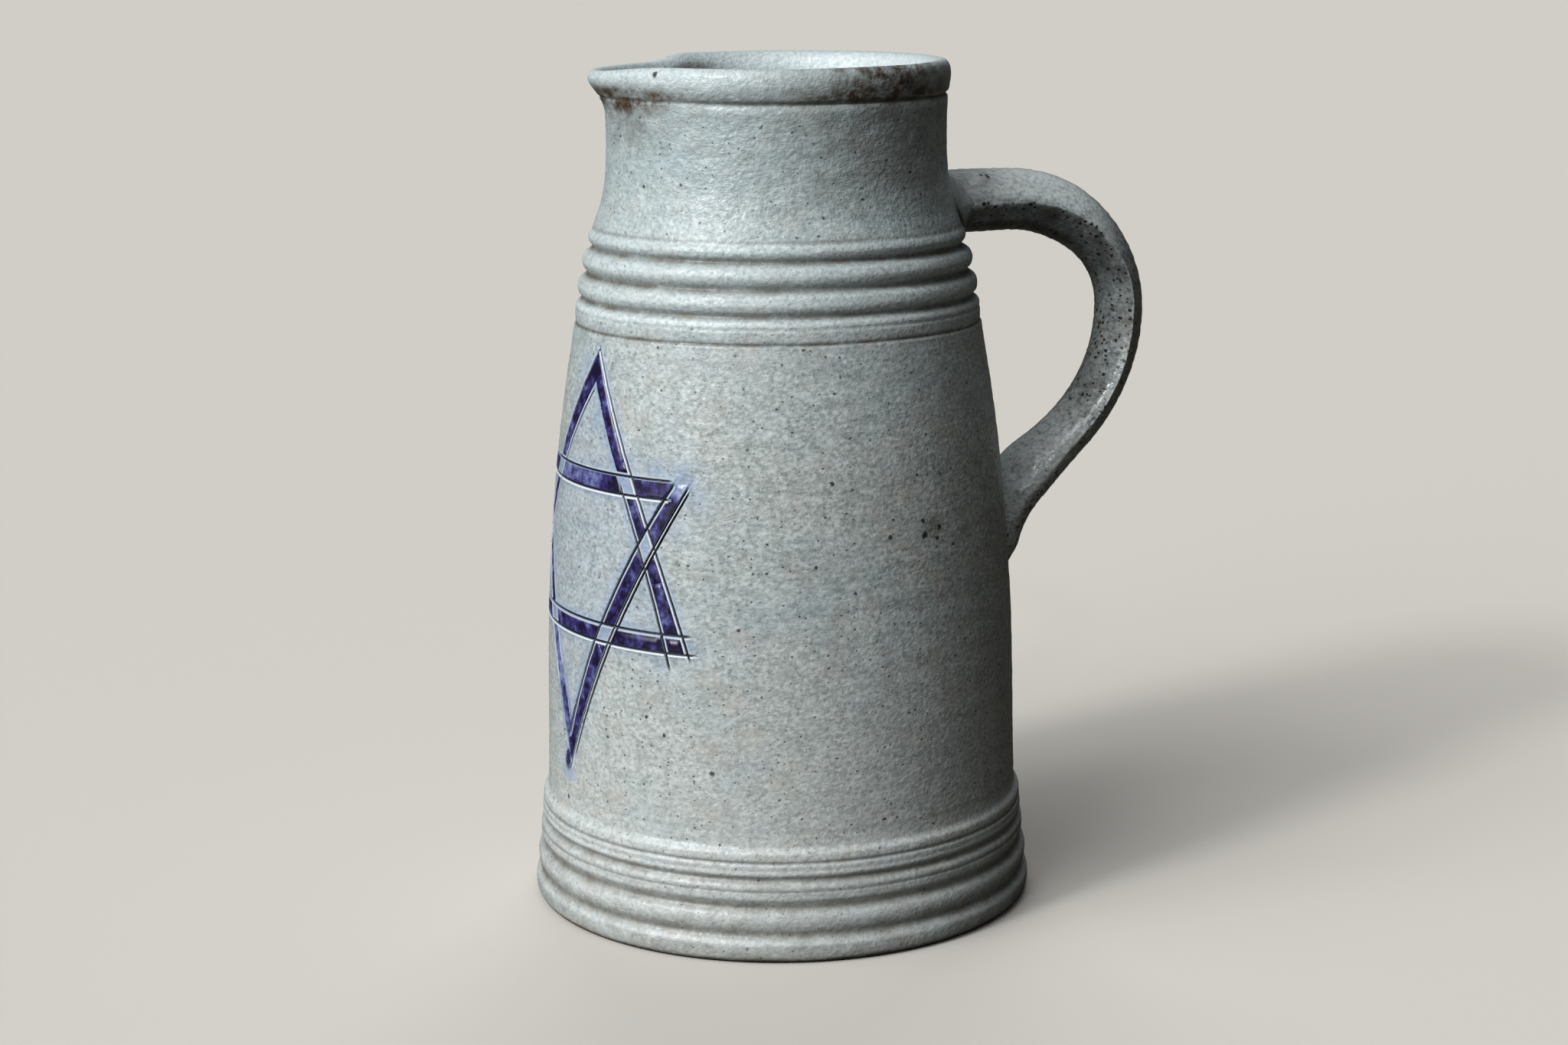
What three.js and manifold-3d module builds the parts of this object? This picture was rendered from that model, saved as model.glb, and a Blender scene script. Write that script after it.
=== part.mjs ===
// Salt-glazed stoneware pitcher: a wheel-thrown body with a pulled lip, a pulled strap handle stuck on
// with slip, and a six-pointed star cut into the wall and filled with cobalt colour.
// Millimetres, +Z up. The origin is the middle of the foot, on the surface that the pitcher stands on.
// Bearings are degrees anticlockwise from +X, seen from above. The handle points along +X.
import * as THREE from 'three';
import { mergeVertices } from 'three/addons/utils/BufferGeometryUtils.js';
import Module from 'manifold-3d';

const wasm = await Module();
wasm.setup();
const { degToRad, lerp, smoothstep, clamp } = THREE.MathUtils;

// Heights of the body's stretches, from the bottom up. The rings of foot and shoulder come between them.
const FOOT_BAND_HEIGHT = 8.7;
const WALL_HEIGHT = 143.8;
const NECK_HEIGHT = 39.9;
const RIM_HEIGHT = 10.1;

// Outer radii, and the powers of the curves between them.
const FOOT_RADIUS = 78.6;
const FOOT_BEVEL = 1.5;
const SHOULDER_RADIUS = 62.7;
const WALL_LEAN_POWER = 2.35;
const NECK_RADIUS = 51.75;
const NECK_SWEEP_POWER = 3.9;
const NECK_FLARE = 0.5;
const RIM_RADIUS = 53.1;
const RIM_CREST_RADIUS = 50.6;
const RIM_ROUND = 4.5;
const RIM_GROOVE_DEPTH = 0.6;

// Turned rings, from the bottom up: the height of each, how far its crest lies behind the foot or the
// shoulder, the depth of the groove above its crest, and the share of its height at which the crest sits.
const FOOT_GROOVE_DEPTH = 1.5;
const FOOT_RINGS = {
  broad: { height: 8.1, setBack: 0.9, groove: 1.8, crestShare: 0.5 },
  middle: { height: 5.0, setBack: 1.9, groove: 0.5, crestShare: 0.5 },
  thin: { height: 3.4, setBack: 2.1, groove: 1.3, crestShare: 0.4 },
  upper: { height: 5.2, setBack: 2.4, groove: 0.6, crestShare: 0.5 },
  cove: { height: 7.0, setBack: 3.0, groove: 1.85, crestShare: 0.28 },
};
const SHOULDER_GROOVE_DEPTH = 0.8;
const SHOULDER_RINGS = {
  broad: { height: 7.8, setBack: 0.5, groove: 1.7, crestShare: 0.5 },
  middle: { height: 7.5, setBack: 1.3, groove: 2.5, crestShare: 0.45 },
  upper: { height: 7.9, setBack: 2.8, groove: 2.9, crestShare: 0.45 },
  collar: { height: 5.6, setBack: 4.9, groove: 1.1, crestShare: 0.46 },
};

// Clay thicknesses, and the hollow's corner between wall and floor.
const WALL_THICKNESS = 7;
const FLOOR_THICKNESS = 10;
const FLOOR_CORNER = 16;
const MOUTH_ROUND = 8;

// The lip that was pulled out of the rim.
const LIP_BEARING = 175;
const LIP_HALF_ANGLE = 48;
const LIP_HEIGHT = 16;
const LIP_REACH = 6.5;
const LIP_DROP = 2.6;

// The strap handle's middle line: level out of the neck, round the crown, down the grip, then in along a
// slope to the wall, where its tail is pressed on. Heights are from the foot of the neck.
const HANDLE_RISE = 5.5;
const HANDLE_RUN = 20;
const CROWN_REACH = 38;
const CROWN_DROP = 34;
const GRIP_RADIUS = 57;
const GRIP_ANGLE = 45;
const TAIL_RADIUS = 26;
const TAIL_PRESS_ANGLE = 3;
const TAIL_LENGTH = 9;
const TAIL_STAND_OFF = 1.2;
const ROOT_DEPTH = 5;
const STRAP = {
  root: { width: 31, thickness: 20.5 },
  run: { width: 28, thickness: 19.5 },
  crown: { width: 27, thickness: 14 },
  grip: { width: 26.5, thickness: 14.5 },
  slope: { width: 27, thickness: 15.5 },
  bend: { width: 25, thickness: 11 },
  tail: { width: 15, thickness: 5 },
};

// Beads of slip round both joints of the handle: how wide they run out, and how high they stand on the wall.
const SLIP_BEAD = 3;
const SLIP_HEIGHT = 2;

// The star, cut into the wall below the lip. Lengths run along the wall.
const STAR_BEARING = 197;
const STAR_HALF_WIDTH = 45.2;
const STAR_TOP_GAP = 4.2;
const STAR_BOTTOM_GAP = 12.3;
const STAR_UPPER_BAR_DROP = 35.5;
const STAR_LOWER_BAR_RISE = 41.5;
const STAR_LEAN = 2.5;
const STAR_UPRIGHT_BOW = 3.4;
const STAR_INVERTED_BOW = -2.2;
const BAR_WIDTH = 5.4;
const CUT_LINE_WIDTH = 0.7;
const POCKET_DEPTH = 0.9;
const COLOUR_SINK = 0.1;

// The gap that fired and stuck pieces keep, and the fineness of the facets.
const CLEARANCE = 0.3;
const CUTTER_REACH = 4;
const BODY_SEGMENTS = 48;
const WALL_STEPS = 9;
const NECK_STEPS = 7;
const RING_STEPS = 4;
const ROUND_STEPS = 4;
const STRAP_SIDES = 16;
const STRAP_STEPS = { run: 5, crown: 10, grip: 7, slope: 3, bend: 6, tail: 3 };
const STAR_STEPS = 12;
const SLIP_STEPS = 10;

// Levels and radii that follow from the driving dimensions
const ringsHeight = (rings) => Object.values(rings).reduce((sum, ring) => sum + ring.height, 0);
const endRadius = (radius, ring) => radius - ring.setBack - ring.groove;
const wallBottom = FOOT_BAND_HEIGHT + ringsHeight(FOOT_RINGS);
const wallTop = wallBottom + WALL_HEIGHT;
const neckBottom = wallTop + ringsHeight(SHOULDER_RINGS);
const rimBottom = neckBottom + NECK_HEIGHT;
const rimTop = rimBottom + RIM_HEIGHT;
const wallFootRadius = endRadius(FOOT_RADIUS, FOOT_RINGS.cove);
const neckFootRadius = endRadius(SHOULDER_RADIUS, SHOULDER_RINGS.collar);

// The radius of the wall, which leans in faster the higher it goes.
function wallRadius(height) {
  const share = clamp((height - wallBottom) / WALL_HEIGHT, 0, 1);
  return lerp(wallFootRadius, SHOULDER_RADIUS, share ** WALL_LEAN_POWER);
}

// The radius of the neck, which sweeps in from the shoulder and flares a little to the rim.
function neckRadius(height) {
  const share = clamp((height - neckBottom) / NECK_HEIGHT, 0, 1);
  return lerp(NECK_RADIUS, neckFootRadius, (1 - share) ** NECK_SWEEP_POWER) + NECK_FLARE * share ** 2;
}

// The radius of the body with its rings smoothed away, which the hollow follows.
function plainRadius(height) {
  if (height < wallTop) return wallRadius(height);
  if (height > neckBottom) return neckRadius(height);
  return lerp(SHOULDER_RADIUS, neckFootRadius, (height - wallTop) / (neckBottom - wallTop));
}

// Points of a stack of turned rings, each a rounded swelling between two grooves.
function ringPoints(rings, bottom, outerRadius, firstGroove) {
  const points = [];
  let level = bottom;
  let groove = outerRadius - firstGroove;
  for (const { height, setBack, groove: depth, crestShare } of Object.values(rings)) {
    const crest = outerRadius - setBack;
    const next = crest - depth;
    for (let step = 0; step < RING_STEPS; step++) {
      const share = step / RING_STEPS;
      const side = share < crestShare ? share / crestShare : (1 - share) / (1 - crestShare);
      const swelling = 1 - (1 - side) ** 2;
      const valley = share < crestShare ? groove : next;
      points.push(new THREE.Vector2(lerp(valley, crest, swelling), level + share * height));
    }
    level += height;
    groove = next;
  }
  return points;
}

// Points of a curve of radius against height, from one level up to another.
function risingPoints(radiusAt, bottom, top, steps) {
  const heights = Array.from({ length: steps + 1 }, (_, step) => lerp(bottom, top, step / steps));
  return heights.map((height) => new THREE.Vector2(radiusAt(height), height));
}

// Points of a quarter ellipse between two angles, without its first point.
function quarterPoints(x, y, wide, high, from, to) {
  const quarter = new THREE.EllipseCurve(x, y, wide, high, from, to, to < from);
  return quarter.getPoints(ROUND_STEPS).slice(1);
}

// The outside of the body from the edge of the foot up to the crest of the rim.
function outerProfile() {
  const rimGroove = new THREE.Vector2(neckRadius(rimBottom) - RIM_GROOVE_DEPTH, rimBottom);
  const roundBottom = rimTop - RIM_ROUND;
  const round = quarterPoints(
    RIM_CREST_RADIUS, roundBottom, RIM_RADIUS - RIM_CREST_RADIUS, RIM_ROUND, 0, Math.PI / 2,
  );
  return [
    new THREE.Vector2(FOOT_RADIUS - FOOT_BEVEL, 0),
    new THREE.Vector2(FOOT_RADIUS, FOOT_BEVEL),
    new THREE.Vector2(FOOT_RADIUS, FOOT_BAND_HEIGHT - FOOT_GROOVE_DEPTH),
    ...ringPoints(FOOT_RINGS, FOOT_BAND_HEIGHT, FOOT_RADIUS, FOOT_GROOVE_DEPTH),
    ...risingPoints(wallRadius, wallBottom, wallTop - SHOULDER_GROOVE_DEPTH, WALL_STEPS),
    ...ringPoints(SHOULDER_RINGS, wallTop, SHOULDER_RADIUS, SHOULDER_GROOVE_DEPTH),
    ...risingPoints(neckRadius, neckBottom, rimBottom - RIM_GROOVE_DEPTH, NECK_STEPS),
    rimGroove,
    new THREE.Vector2(neckRadius(rimBottom), rimBottom + RIM_GROOVE_DEPTH),
    new THREE.Vector2(RIM_RADIUS, roundBottom),
    ...round,
  ];
}

// The hollow of the body from the crest of the rim down to the middle of the floor.
function innerProfile() {
  const hollowRadius = (height) => plainRadius(height) - WALL_THICKNESS;
  const mouthBottom = rimTop - MOUTH_ROUND;
  const mouthWidth = RIM_CREST_RADIUS - hollowRadius(mouthBottom);
  const mouth = quarterPoints(
    RIM_CREST_RADIUS, mouthBottom, mouthWidth, MOUTH_ROUND, Math.PI / 2, Math.PI,
  );
  const cornerTop = FLOOR_THICKNESS + FLOOR_CORNER;
  const neck = risingPoints(hollowRadius, neckBottom, mouthBottom, NECK_STEPS).reverse().slice(1);
  const wall = risingPoints(hollowRadius, cornerTop, wallTop, WALL_STEPS).reverse();
  const cornerRadius = hollowRadius(cornerTop) - FLOOR_CORNER;
  const corner = quarterPoints(cornerRadius, cornerTop, FLOOR_CORNER, FLOOR_CORNER, 0, -Math.PI / 2);
  return [...mouth, ...neck, ...wall, ...corner, new THREE.Vector2(0, FLOOR_THICKNESS)];
}

// A closed geometry as a solid that can be joined and cut.
function solidOf(geometry) {
  const bare = geometry.clone();
  for (const name of Object.keys(bare.attributes)) if (name !== 'position') bare.deleteAttribute(name);
  const merged = mergeVertices(bare, 1e-3);
  return new wasm.Manifold(
    new wasm.Mesh({
      numProp: 3,
      vertProperties: new Float32Array(merged.attributes.position.array),
      triVerts: new Uint32Array(merged.index.array),
    }),
  );
}

// A solid as a named mesh.
function meshOf(solid, name, material) {
  const { vertProperties, triVerts } = solid.getMesh();
  const geometry = new THREE.BufferGeometry();
  geometry.setAttribute('position', new THREE.BufferAttribute(vertProperties, 3));
  geometry.setIndex(new THREE.BufferAttribute(triVerts, 1));
  geometry.computeVertexNormals();
  const mesh = new THREE.Mesh(geometry, material);
  mesh.name = name;
  return mesh;
}

// A turned solid about the Z axis.
function turned(profile) {
  return new THREE.LatheGeometry(profile, BODY_SEGMENTS).rotateX(Math.PI / 2);
}

// Pulls the lip out of the rim: the clay moves outwards and sinks a little around the lip's bearing.
function pullLip(geometry) {
  const positions = geometry.attributes.position;
  const towards = degToRad(LIP_BEARING);
  for (let i = 0; i < positions.count; i++) {
    const [x, y, z] = [positions.getX(i), positions.getY(i), positions.getZ(i)];
    const radius = Math.hypot(x, y);
    const turn = Math.atan2(y, x) - towards;
    const away = Math.abs(Math.atan2(Math.sin(turn), Math.cos(turn))) / degToRad(LIP_HALF_ANGLE);
    if (radius === 0 || away > 1) continue;
    const pull = Math.cos((away * Math.PI) / 2) ** 2 * smoothstep(z, rimTop - LIP_HEIGHT, rimTop);
    const grown = 1 + (LIP_REACH * pull) / radius;
    positions.setXYZ(i, x * grown, y * grown, z - LIP_DROP * pull);
  }
  return geometry;
}

// The space that the body takes up, filled and grown by the clearance, for fitting pieces to its outside.
function bodyEnvelope() {
  const grown = outerProfile().map((point) => new THREE.Vector2(point.x + CLEARANCE, point.y));
  const axis = [new THREE.Vector2(0, 0), new THREE.Vector2(0, rimTop)];
  return solidOf(turned([axis[0], ...grown, axis[1]]));
}

// A closed skin over a row of rings with the same number of points, with a fan over each end.
function skinOver(rings) {
  const sides = rings[0].length;
  const middle = (ring) => ring.reduce((sum, p) => sum.add(p), new THREE.Vector3()).divideScalar(sides);
  const points = [...rings.flat(), middle(rings[0]), middle(rings.at(-1))];
  const [start, end] = [points.length - 2, points.length - 1];
  const last = (rings.length - 1) * sides;
  const faces = [];
  for (let side = 0; side < sides; side++) {
    const next = (side + 1) % sides;
    for (let base = 0; base < last; base += sides) {
      faces.push(base + side, base + next, base + sides + next);
      faces.push(base + side, base + sides + next, base + sides + side);
    }
    faces.push(start, next, side);
    faces.push(end, last + side, last + next);
  }
  const geometry = new THREE.BufferGeometry().setFromPoints(points);
  geometry.setIndex(faces);
  return geometry;
}

// The handle's middle line as stretches in the plane of radius and height. Each stretch ends with the
// strap's size there.
function strapStretches() {
  const top = neckBottom + HANDLE_RISE;
  const neck = neckRadius(top);
  const start = new THREE.Vector2(neck - ROOT_DEPTH, top);
  const runEnd = new THREE.Vector2(neck + HANDLE_RUN, top);
  const run = new THREE.LineCurve(start, runEnd);
  const crownMiddle = top - CROWN_DROP;
  const crown = new THREE.EllipseCurve(
    runEnd.x, crownMiddle, CROWN_REACH, CROWN_DROP, Math.PI / 2, 0, true,
  );
  const gripTurn = degToRad(GRIP_ANGLE);
  const gripMiddle = runEnd.x + CROWN_REACH - GRIP_RADIUS;
  const grip = new THREE.EllipseCurve(gripMiddle, crownMiddle, GRIP_RADIUS, GRIP_RADIUS, 0, -gripTurn, true);
  const gripEnd = grip.getPoint(1);

  // The tail bends back until it leans on the wall, and the slope is as long as that leaves it.
  const leaving = degToRad(TAIL_PRESS_ANGLE);
  const bendIn = TAIL_RADIUS * (Math.cos(leaving) - Math.cos(gripTurn));
  const bendDown = TAIL_RADIUS * (Math.sin(gripTurn) - Math.sin(leaving));
  const tailReach = (height) => wallRadius(height) + TAIL_STAND_OFF + bendIn;
  let slopeEnd = gripEnd.clone();
  for (let pass = 0; pass < 8; pass++) {
    const inward = gripEnd.x - tailReach(slopeEnd.y - bendDown);
    slopeEnd = new THREE.Vector2(gripEnd.x - inward, gripEnd.y - inward / Math.tan(gripTurn));
  }
  const slope = new THREE.LineCurve(gripEnd, slopeEnd);
  const bend = new THREE.EllipseCurve(
    slopeEnd.x + TAIL_RADIUS * Math.cos(gripTurn), slopeEnd.y - TAIL_RADIUS * Math.sin(gripTurn),
    TAIL_RADIUS, TAIL_RADIUS, Math.PI - gripTurn, Math.PI - leaving, false,
  );
  const bendEnd = bend.getPoint(1);
  const along = bend.getTangent(1).multiplyScalar(TAIL_LENGTH);
  const tail = new THREE.LineCurve(bendEnd, bendEnd.clone().add(along));
  return [
    { curve: run, steps: STRAP_STEPS.run, size: STRAP.run },
    { curve: crown, steps: STRAP_STEPS.crown, size: STRAP.crown },
    { curve: grip, steps: STRAP_STEPS.grip, size: STRAP.grip },
    { curve: slope, steps: STRAP_STEPS.slope, size: STRAP.slope },
    { curve: bend, steps: STRAP_STEPS.bend, size: STRAP.bend, pressed: true },
    { curve: tail, steps: STRAP_STEPS.tail, size: STRAP.tail, pressed: true },
  ];
}

// Stations along the handle's middle line, each with its place, direction and size, and whether it is
// pressed on the wall.
function strapStations() {
  let before = STRAP.root;
  const stations = [];
  for (const { curve, steps, size, pressed = false } of strapStretches()) {
    for (let step = stations.length ? 1 : 0; step <= steps; step++) {
      const share = step / steps;
      stations.push({
        place: curve.getPoint(share),
        direction: curve.getTangent(share),
        width: lerp(before.width, size.width, share),
        thickness: lerp(before.thickness, size.thickness, share),
        pressed,
      });
    }
    before = size;
  }
  return stations;
}

// The oval section of the strap at a station, grown all round by some amount.
function strapSection({ place, direction, width, thickness }, grow) {
  const outward = new THREE.Vector2(-direction.y, direction.x);
  return Array.from({ length: STRAP_SIDES }, (_, side) => {
    const angle = (2 * Math.PI * side) / STRAP_SIDES;
    const lift = (thickness / 2 + grow) * Math.sin(angle);
    const aside = (width / 2 + grow) * Math.cos(angle);
    return new THREE.Vector3(place.x + outward.x * lift, aside, place.y + outward.y * lift);
  });
}

// The strap over some of its stations, grown all round by some amount.
function strapSolid(stations, grow) {
  return solidOf(skinOver(stations.map((station) => strapSection(station, grow))));
}

// Slip at the neck: a bead that follows the neck and the shoulder round the strap's root, and thins out
// along the strap.
function upperSlip(stations, envelope, strapSpace) {
  const reach = SLIP_BEAD + CLEARANCE;
  const depths = [-ROOT_DEPTH, 0, reach / 3, (2 * reach) / 3, reach];
  const collar = depths.map((depth) => {
    const grow = 2 * CLEARANCE + SLIP_BEAD * (1 - clamp(depth / reach, 0, 1)) ** 2;
    const section = strapSection(stations[0], grow);
    return section.map((p) => p.setX(Math.sqrt(plainRadius(p.z) ** 2 - p.y ** 2) + depth));
  });
  return solidOf(skinOver(collar)).subtract(envelope).subtract(strapSpace);
}

// Slip at the wall: a low pad behind the pressed tail, which shows as a bead all round it.
function lowerSlip(stations, envelope, strapSpace) {
  const tail = stations.filter((station) => station.pressed);
  const [first, last] = [tail[0], tail.at(-1)];
  const top = first.place.y + first.thickness / 2 + SLIP_BEAD;
  const bottom = last.place.y - 2 * SLIP_BEAD;
  const pad = Array.from({ length: SLIP_STEPS + 1 }, (_, step) => {
    const share = (step + 0.5) / (SLIP_STEPS + 1);
    const height = lerp(top, bottom, share);
    const beside = tail.find((station) => station.place.y <= height) ?? last;
    const rounding = Math.sqrt(1 - Math.abs(2 * share - 1) ** 4);
    return {
      place: new THREE.Vector2(wallRadius(height), height),
      direction: new THREE.Vector2(0, -1),
      width: (beside.width + 2 * SLIP_BEAD) * rounding,
      thickness: 2 * SLIP_HEIGHT * rounding,
    };
  });
  return strapSolid(pad, 0).subtract(envelope).subtract(strapSpace);
}

// The star's two triangles by their outer corners, anticlockwise seen from outside: along the wall, height.
function starTriangles() {
  const top = wallTop - STAR_TOP_GAP;
  const bottom = wallBottom + STAR_BOTTOM_GAP;
  const upper = top - STAR_UPPER_BAR_DROP;
  const lower = bottom + STAR_LOWER_BAR_RISE;
  const corner = (along, height) => new THREE.Vector2(along, height);
  const upright = {
    corners: [corner(STAR_LEAN, top), corner(-STAR_HALF_WIDTH, lower), corner(STAR_HALF_WIDTH, lower)],
    bows: [STAR_UPRIGHT_BOW, 0, STAR_UPRIGHT_BOW],
  };
  const inverted = {
    corners: [corner(-STAR_LEAN, bottom), corner(STAR_HALF_WIDTH, upper), corner(-STAR_HALF_WIDTH, upper)],
    bows: [STAR_INVERTED_BOW, 0, STAR_INVERTED_BOW],
  };
  return { upright, inverted, middle: (top + bottom) / 2 };
}

// A triangle's outline with each side bowed, drawn in from its outer edge by some distance.
function triangleOutline({ corners, bows }, inset) {
  const count = corners.length;
  const outwardOf = (from, to) => {
    const along = to.clone().sub(from).normalize();
    return new THREE.Vector2(along.y, -along.x);
  };
  const outward = corners.map((corner, i) => outwardOf(corner, corners[(i + 1) % count]));
  const drawnIn = corners.map((corner, i) => {
    const [before, after] = [outward.at(i - 1), outward[i]];
    return corner.clone().addScaledVector(before.clone().add(after), -inset / (1 + before.dot(after)));
  });
  return drawnIn.flatMap((corner, i) => {
    const next = drawnIn[(i + 1) % count];
    return Array.from({ length: STAR_STEPS }, (_, step) => {
      const share = step / STAR_STEPS;
      return corner.clone().lerp(next, share).addScaledVector(outward[i], bows[i] * 4 * share * (1 - share));
    });
  });
}

// A band of the wall between two insets of a triangle, from one depth to another, measured outwards.
function wallBand(triangle, star, outerInset, innerInset, low, high) {
  const onWall = (point, stand) => {
    const bearing = degToRad(STAR_BEARING) + point.x / wallRadius(star.middle);
    const radius = wallRadius(point.y) + stand;
    return new THREE.Vector3(radius * Math.cos(bearing), radius * Math.sin(bearing), point.y);
  };
  const outer = triangleOutline(triangle, outerInset);
  const inner = triangleOutline(triangle, innerInset);
  const count = outer.length;
  const points = [[outer, high], [inner, high], [inner, low], [outer, low]].flatMap(
    ([outline, stand]) => outline.map((point) => onWall(point, stand)),
  );
  const faces = [];
  for (let i = 0; i < count; i++) {
    const next = (i + 1) % count;
    for (let edge = 0; edge < 4; edge++) {
      const [here, there] = [edge * count, ((edge + 1) % 4) * count];
      faces.push(here + i, here + next, there + next);
      faces.push(here + i, there + next, there + i);
    }
  }
  const geometry = new THREE.BufferGeometry().setFromPoints(points);
  geometry.setIndex(faces);
  return solidOf(geometry);
}

// The star as solids: the pockets cut in the wall, and the colour in each of its points and sides.
function makeStar() {
  const star = starTriangles();
  const triangles = [star.upright, star.inverted];
  const line = CUT_LINE_WIDTH;
  const band = (triangle, inset, low, high) =>
    wallBand(triangle, star, inset, BAR_WIDTH - inset, low, high);
  const cutters = triangles.map((triangle) => band(triangle, 0, -POCKET_DEPTH, CUTTER_REACH));
  const crossers = triangles.map((triangle) => band(triangle, 0, -CUTTER_REACH, CUTTER_REACH));
  const cores = triangles.map((triangle) => band(triangle, line, -CUTTER_REACH, 2 * CUTTER_REACH));
  const pockets = cutters[0].add(cutters[1]).subtract(cores[0].intersect(cores[1]));

  // Each triangle's colour stops at the other triangle's bars, which leaves its points and its sides.
  const pieces = triangles.flatMap((triangle, i) => {
    const colour = band(triangle, line, CLEARANCE - POCKET_DEPTH, -COLOUR_SINK);
    return colour.subtract(crossers[1 - i]).decompose();
  });

  // Points and sides are told apart by their distance from the star's middle, and each are put in order
  // clockwise from the top.
  const bearing = degToRad(STAR_BEARING);
  const heart = new THREE.Vector3(Math.cos(bearing), Math.sin(bearing), 0);
  heart.multiplyScalar(wallRadius(star.middle)).setZ(star.middle);
  const aside = new THREE.Vector3(-Math.sin(bearing), Math.cos(bearing), 0);
  const placed = pieces.map((solid) => {
    const { min, max } = solid.boundingBox();
    const from = new THREE.Vector3(...min).lerp(new THREE.Vector3(...max), 0.5).sub(heart);
    const turn = Math.atan2(from.dot(aside), from.z) + Math.PI / 6;
    return { solid, clockwise: (turn + 2 * Math.PI) % (2 * Math.PI), far: from.length() };
  });
  const byDistance = [...placed].sort((a, b) => b.far - a.far);
  const half = placed.length / 2;
  const round = (list) => [...list].sort((a, b) => a.clockwise - b.clockwise).map(({ solid }) => solid);
  return { pockets, tips: round(byDistance.slice(0, half)), sides: round(byDistance.slice(half)) };
}

// Materials
const saltGlaze = new THREE.MeshStandardMaterial({ color: 0xa3aaa6, roughness: 0.38, metalness: 0 });
const handleGlaze = new THREE.MeshStandardMaterial({ color: 0x969d99, roughness: 0.34, metalness: 0 });
const slipGlaze = new THREE.MeshStandardMaterial({ color: 0x8d928b, roughness: 0.45, metalness: 0 });
const cobalt = new THREE.MeshStandardMaterial({ color: 0x3a3f86, roughness: 0.3, metalness: 0 });

const star = makeStar();
const envelope = bodyEnvelope();
const stations = strapStations();
const strap = strapSolid(stations, 0);
const strapSpace = strapSolid(stations, CLEARANCE);
const profile = [new THREE.Vector2(0, 0), ...outerProfile(), ...innerProfile()];
const body = solidOf(pullLip(turned(profile))).subtract(star.pockets);

const pitcher = new THREE.Group();
pitcher.add(meshOf(body, 'thrown_body', saltGlaze));
pitcher.add(meshOf(strap.subtract(envelope), 'pulled_handle', handleGlaze));
pitcher.add(meshOf(upperSlip(stations, envelope, strapSpace), 'upper_luting_slip', slipGlaze));
pitcher.add(meshOf(lowerSlip(stations, envelope, strapSpace), 'lower_luting_slip', slipGlaze));
star.tips.forEach((tip, i) => pitcher.add(meshOf(tip, `cobalt_tip_${i + 1}`, cobalt)));
star.sides.forEach((side, i) => pitcher.add(meshOf(side, `cobalt_side_${i + 1}`, cobalt)));

export default pitcher;
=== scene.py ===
"""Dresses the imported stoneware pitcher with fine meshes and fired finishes.

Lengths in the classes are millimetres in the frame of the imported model: +Z up, the handle along +X.
Bearings are degrees anticlockwise from +X, seen from above. Meshes are handed to Blender in metres.
"""
import logging
import math
from collections.abc import Callable
from dataclasses import dataclass, field
from enum import Enum, IntEnum
from functools import partial

import bpy
import numpy as np
from mathutils import Matrix, Vector
from mathutils.geometry import delaunay_2d_cdt


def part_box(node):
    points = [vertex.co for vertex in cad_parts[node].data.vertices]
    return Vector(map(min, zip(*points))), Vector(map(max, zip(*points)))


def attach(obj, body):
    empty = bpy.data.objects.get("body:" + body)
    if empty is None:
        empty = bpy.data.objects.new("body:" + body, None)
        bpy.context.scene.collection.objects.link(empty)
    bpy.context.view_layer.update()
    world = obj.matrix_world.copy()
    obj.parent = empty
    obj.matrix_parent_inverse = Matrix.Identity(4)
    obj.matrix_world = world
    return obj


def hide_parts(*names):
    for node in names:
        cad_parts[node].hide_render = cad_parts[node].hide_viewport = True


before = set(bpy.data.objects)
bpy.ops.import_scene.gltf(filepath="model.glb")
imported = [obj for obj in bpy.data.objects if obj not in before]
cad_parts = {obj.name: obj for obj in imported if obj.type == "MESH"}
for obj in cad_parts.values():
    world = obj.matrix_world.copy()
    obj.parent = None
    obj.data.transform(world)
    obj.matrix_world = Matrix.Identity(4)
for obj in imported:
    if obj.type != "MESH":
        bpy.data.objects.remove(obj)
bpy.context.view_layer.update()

MM = 0.001
FULL_TURN = 2 * math.pi
BODY = "root"
log = logging.getLogger("pitcher")

Points = tuple[tuple[float, float], ...]
Bands = tuple[tuple[float, float, float], ...]
Spots = tuple[tuple[float, float, float, float], ...]
Faces = list[tuple[int, ...]]
Socket = bpy.types.NodeSocket
Adder = Callable[..., bpy.types.Node]
Coats = list[tuple[Socket, Socket | None, str | Socket]]


def to_linear(colour: str) -> tuple[float, float, float, float]:
    """Turns an sRGB hex colour into linear light.

    Args:
        colour: Six hex digits after a hash sign.

    Returns:
        Red, green, blue and an alpha of 1.
    """
    parts = [int(colour[i : i + 2], 16) / 255 for i in (1, 3, 5)]
    linear = [p / 12.92 if p <= 0.04045 else ((p + 0.055) / 1.055) ** 2.4 for p in parts]
    return (*linear, 1.0)


def smoothstep(low: float, high: float, value: np.ndarray) -> np.ndarray:
    """Rises smoothly from 0 at low to 1 at high."""
    share = np.clip((value - low) / (high - low), 0, 1)
    return share * share * (3 - 2 * share)


def swell(value: np.ndarray, middle: float, width: float) -> np.ndarray:
    """A bell that is 1 at the middle and fades out over the width."""
    return np.exp(-(((value - middle) / width) ** 2))


def wander(angle: np.ndarray, seed: int, waves: int = 7) -> np.ndarray:
    """A smooth line that wanders round a circle.

    Args:
        angle: Angles in radians.
        seed: Picks one such line.
        waves: The most waves that it makes in one turn.

    Returns:
        Values of about -1 to 1.
    """
    draw = np.random.default_rng(seed)
    total = np.zeros_like(angle)
    for wave in range(1, waves + 1):
        size, phase = draw.normal(), draw.uniform(0, FULL_TURN)
        total = total + size / math.sqrt(wave) * np.cos(wave * angle + phase)
    return total / math.sqrt(waves)


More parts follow.
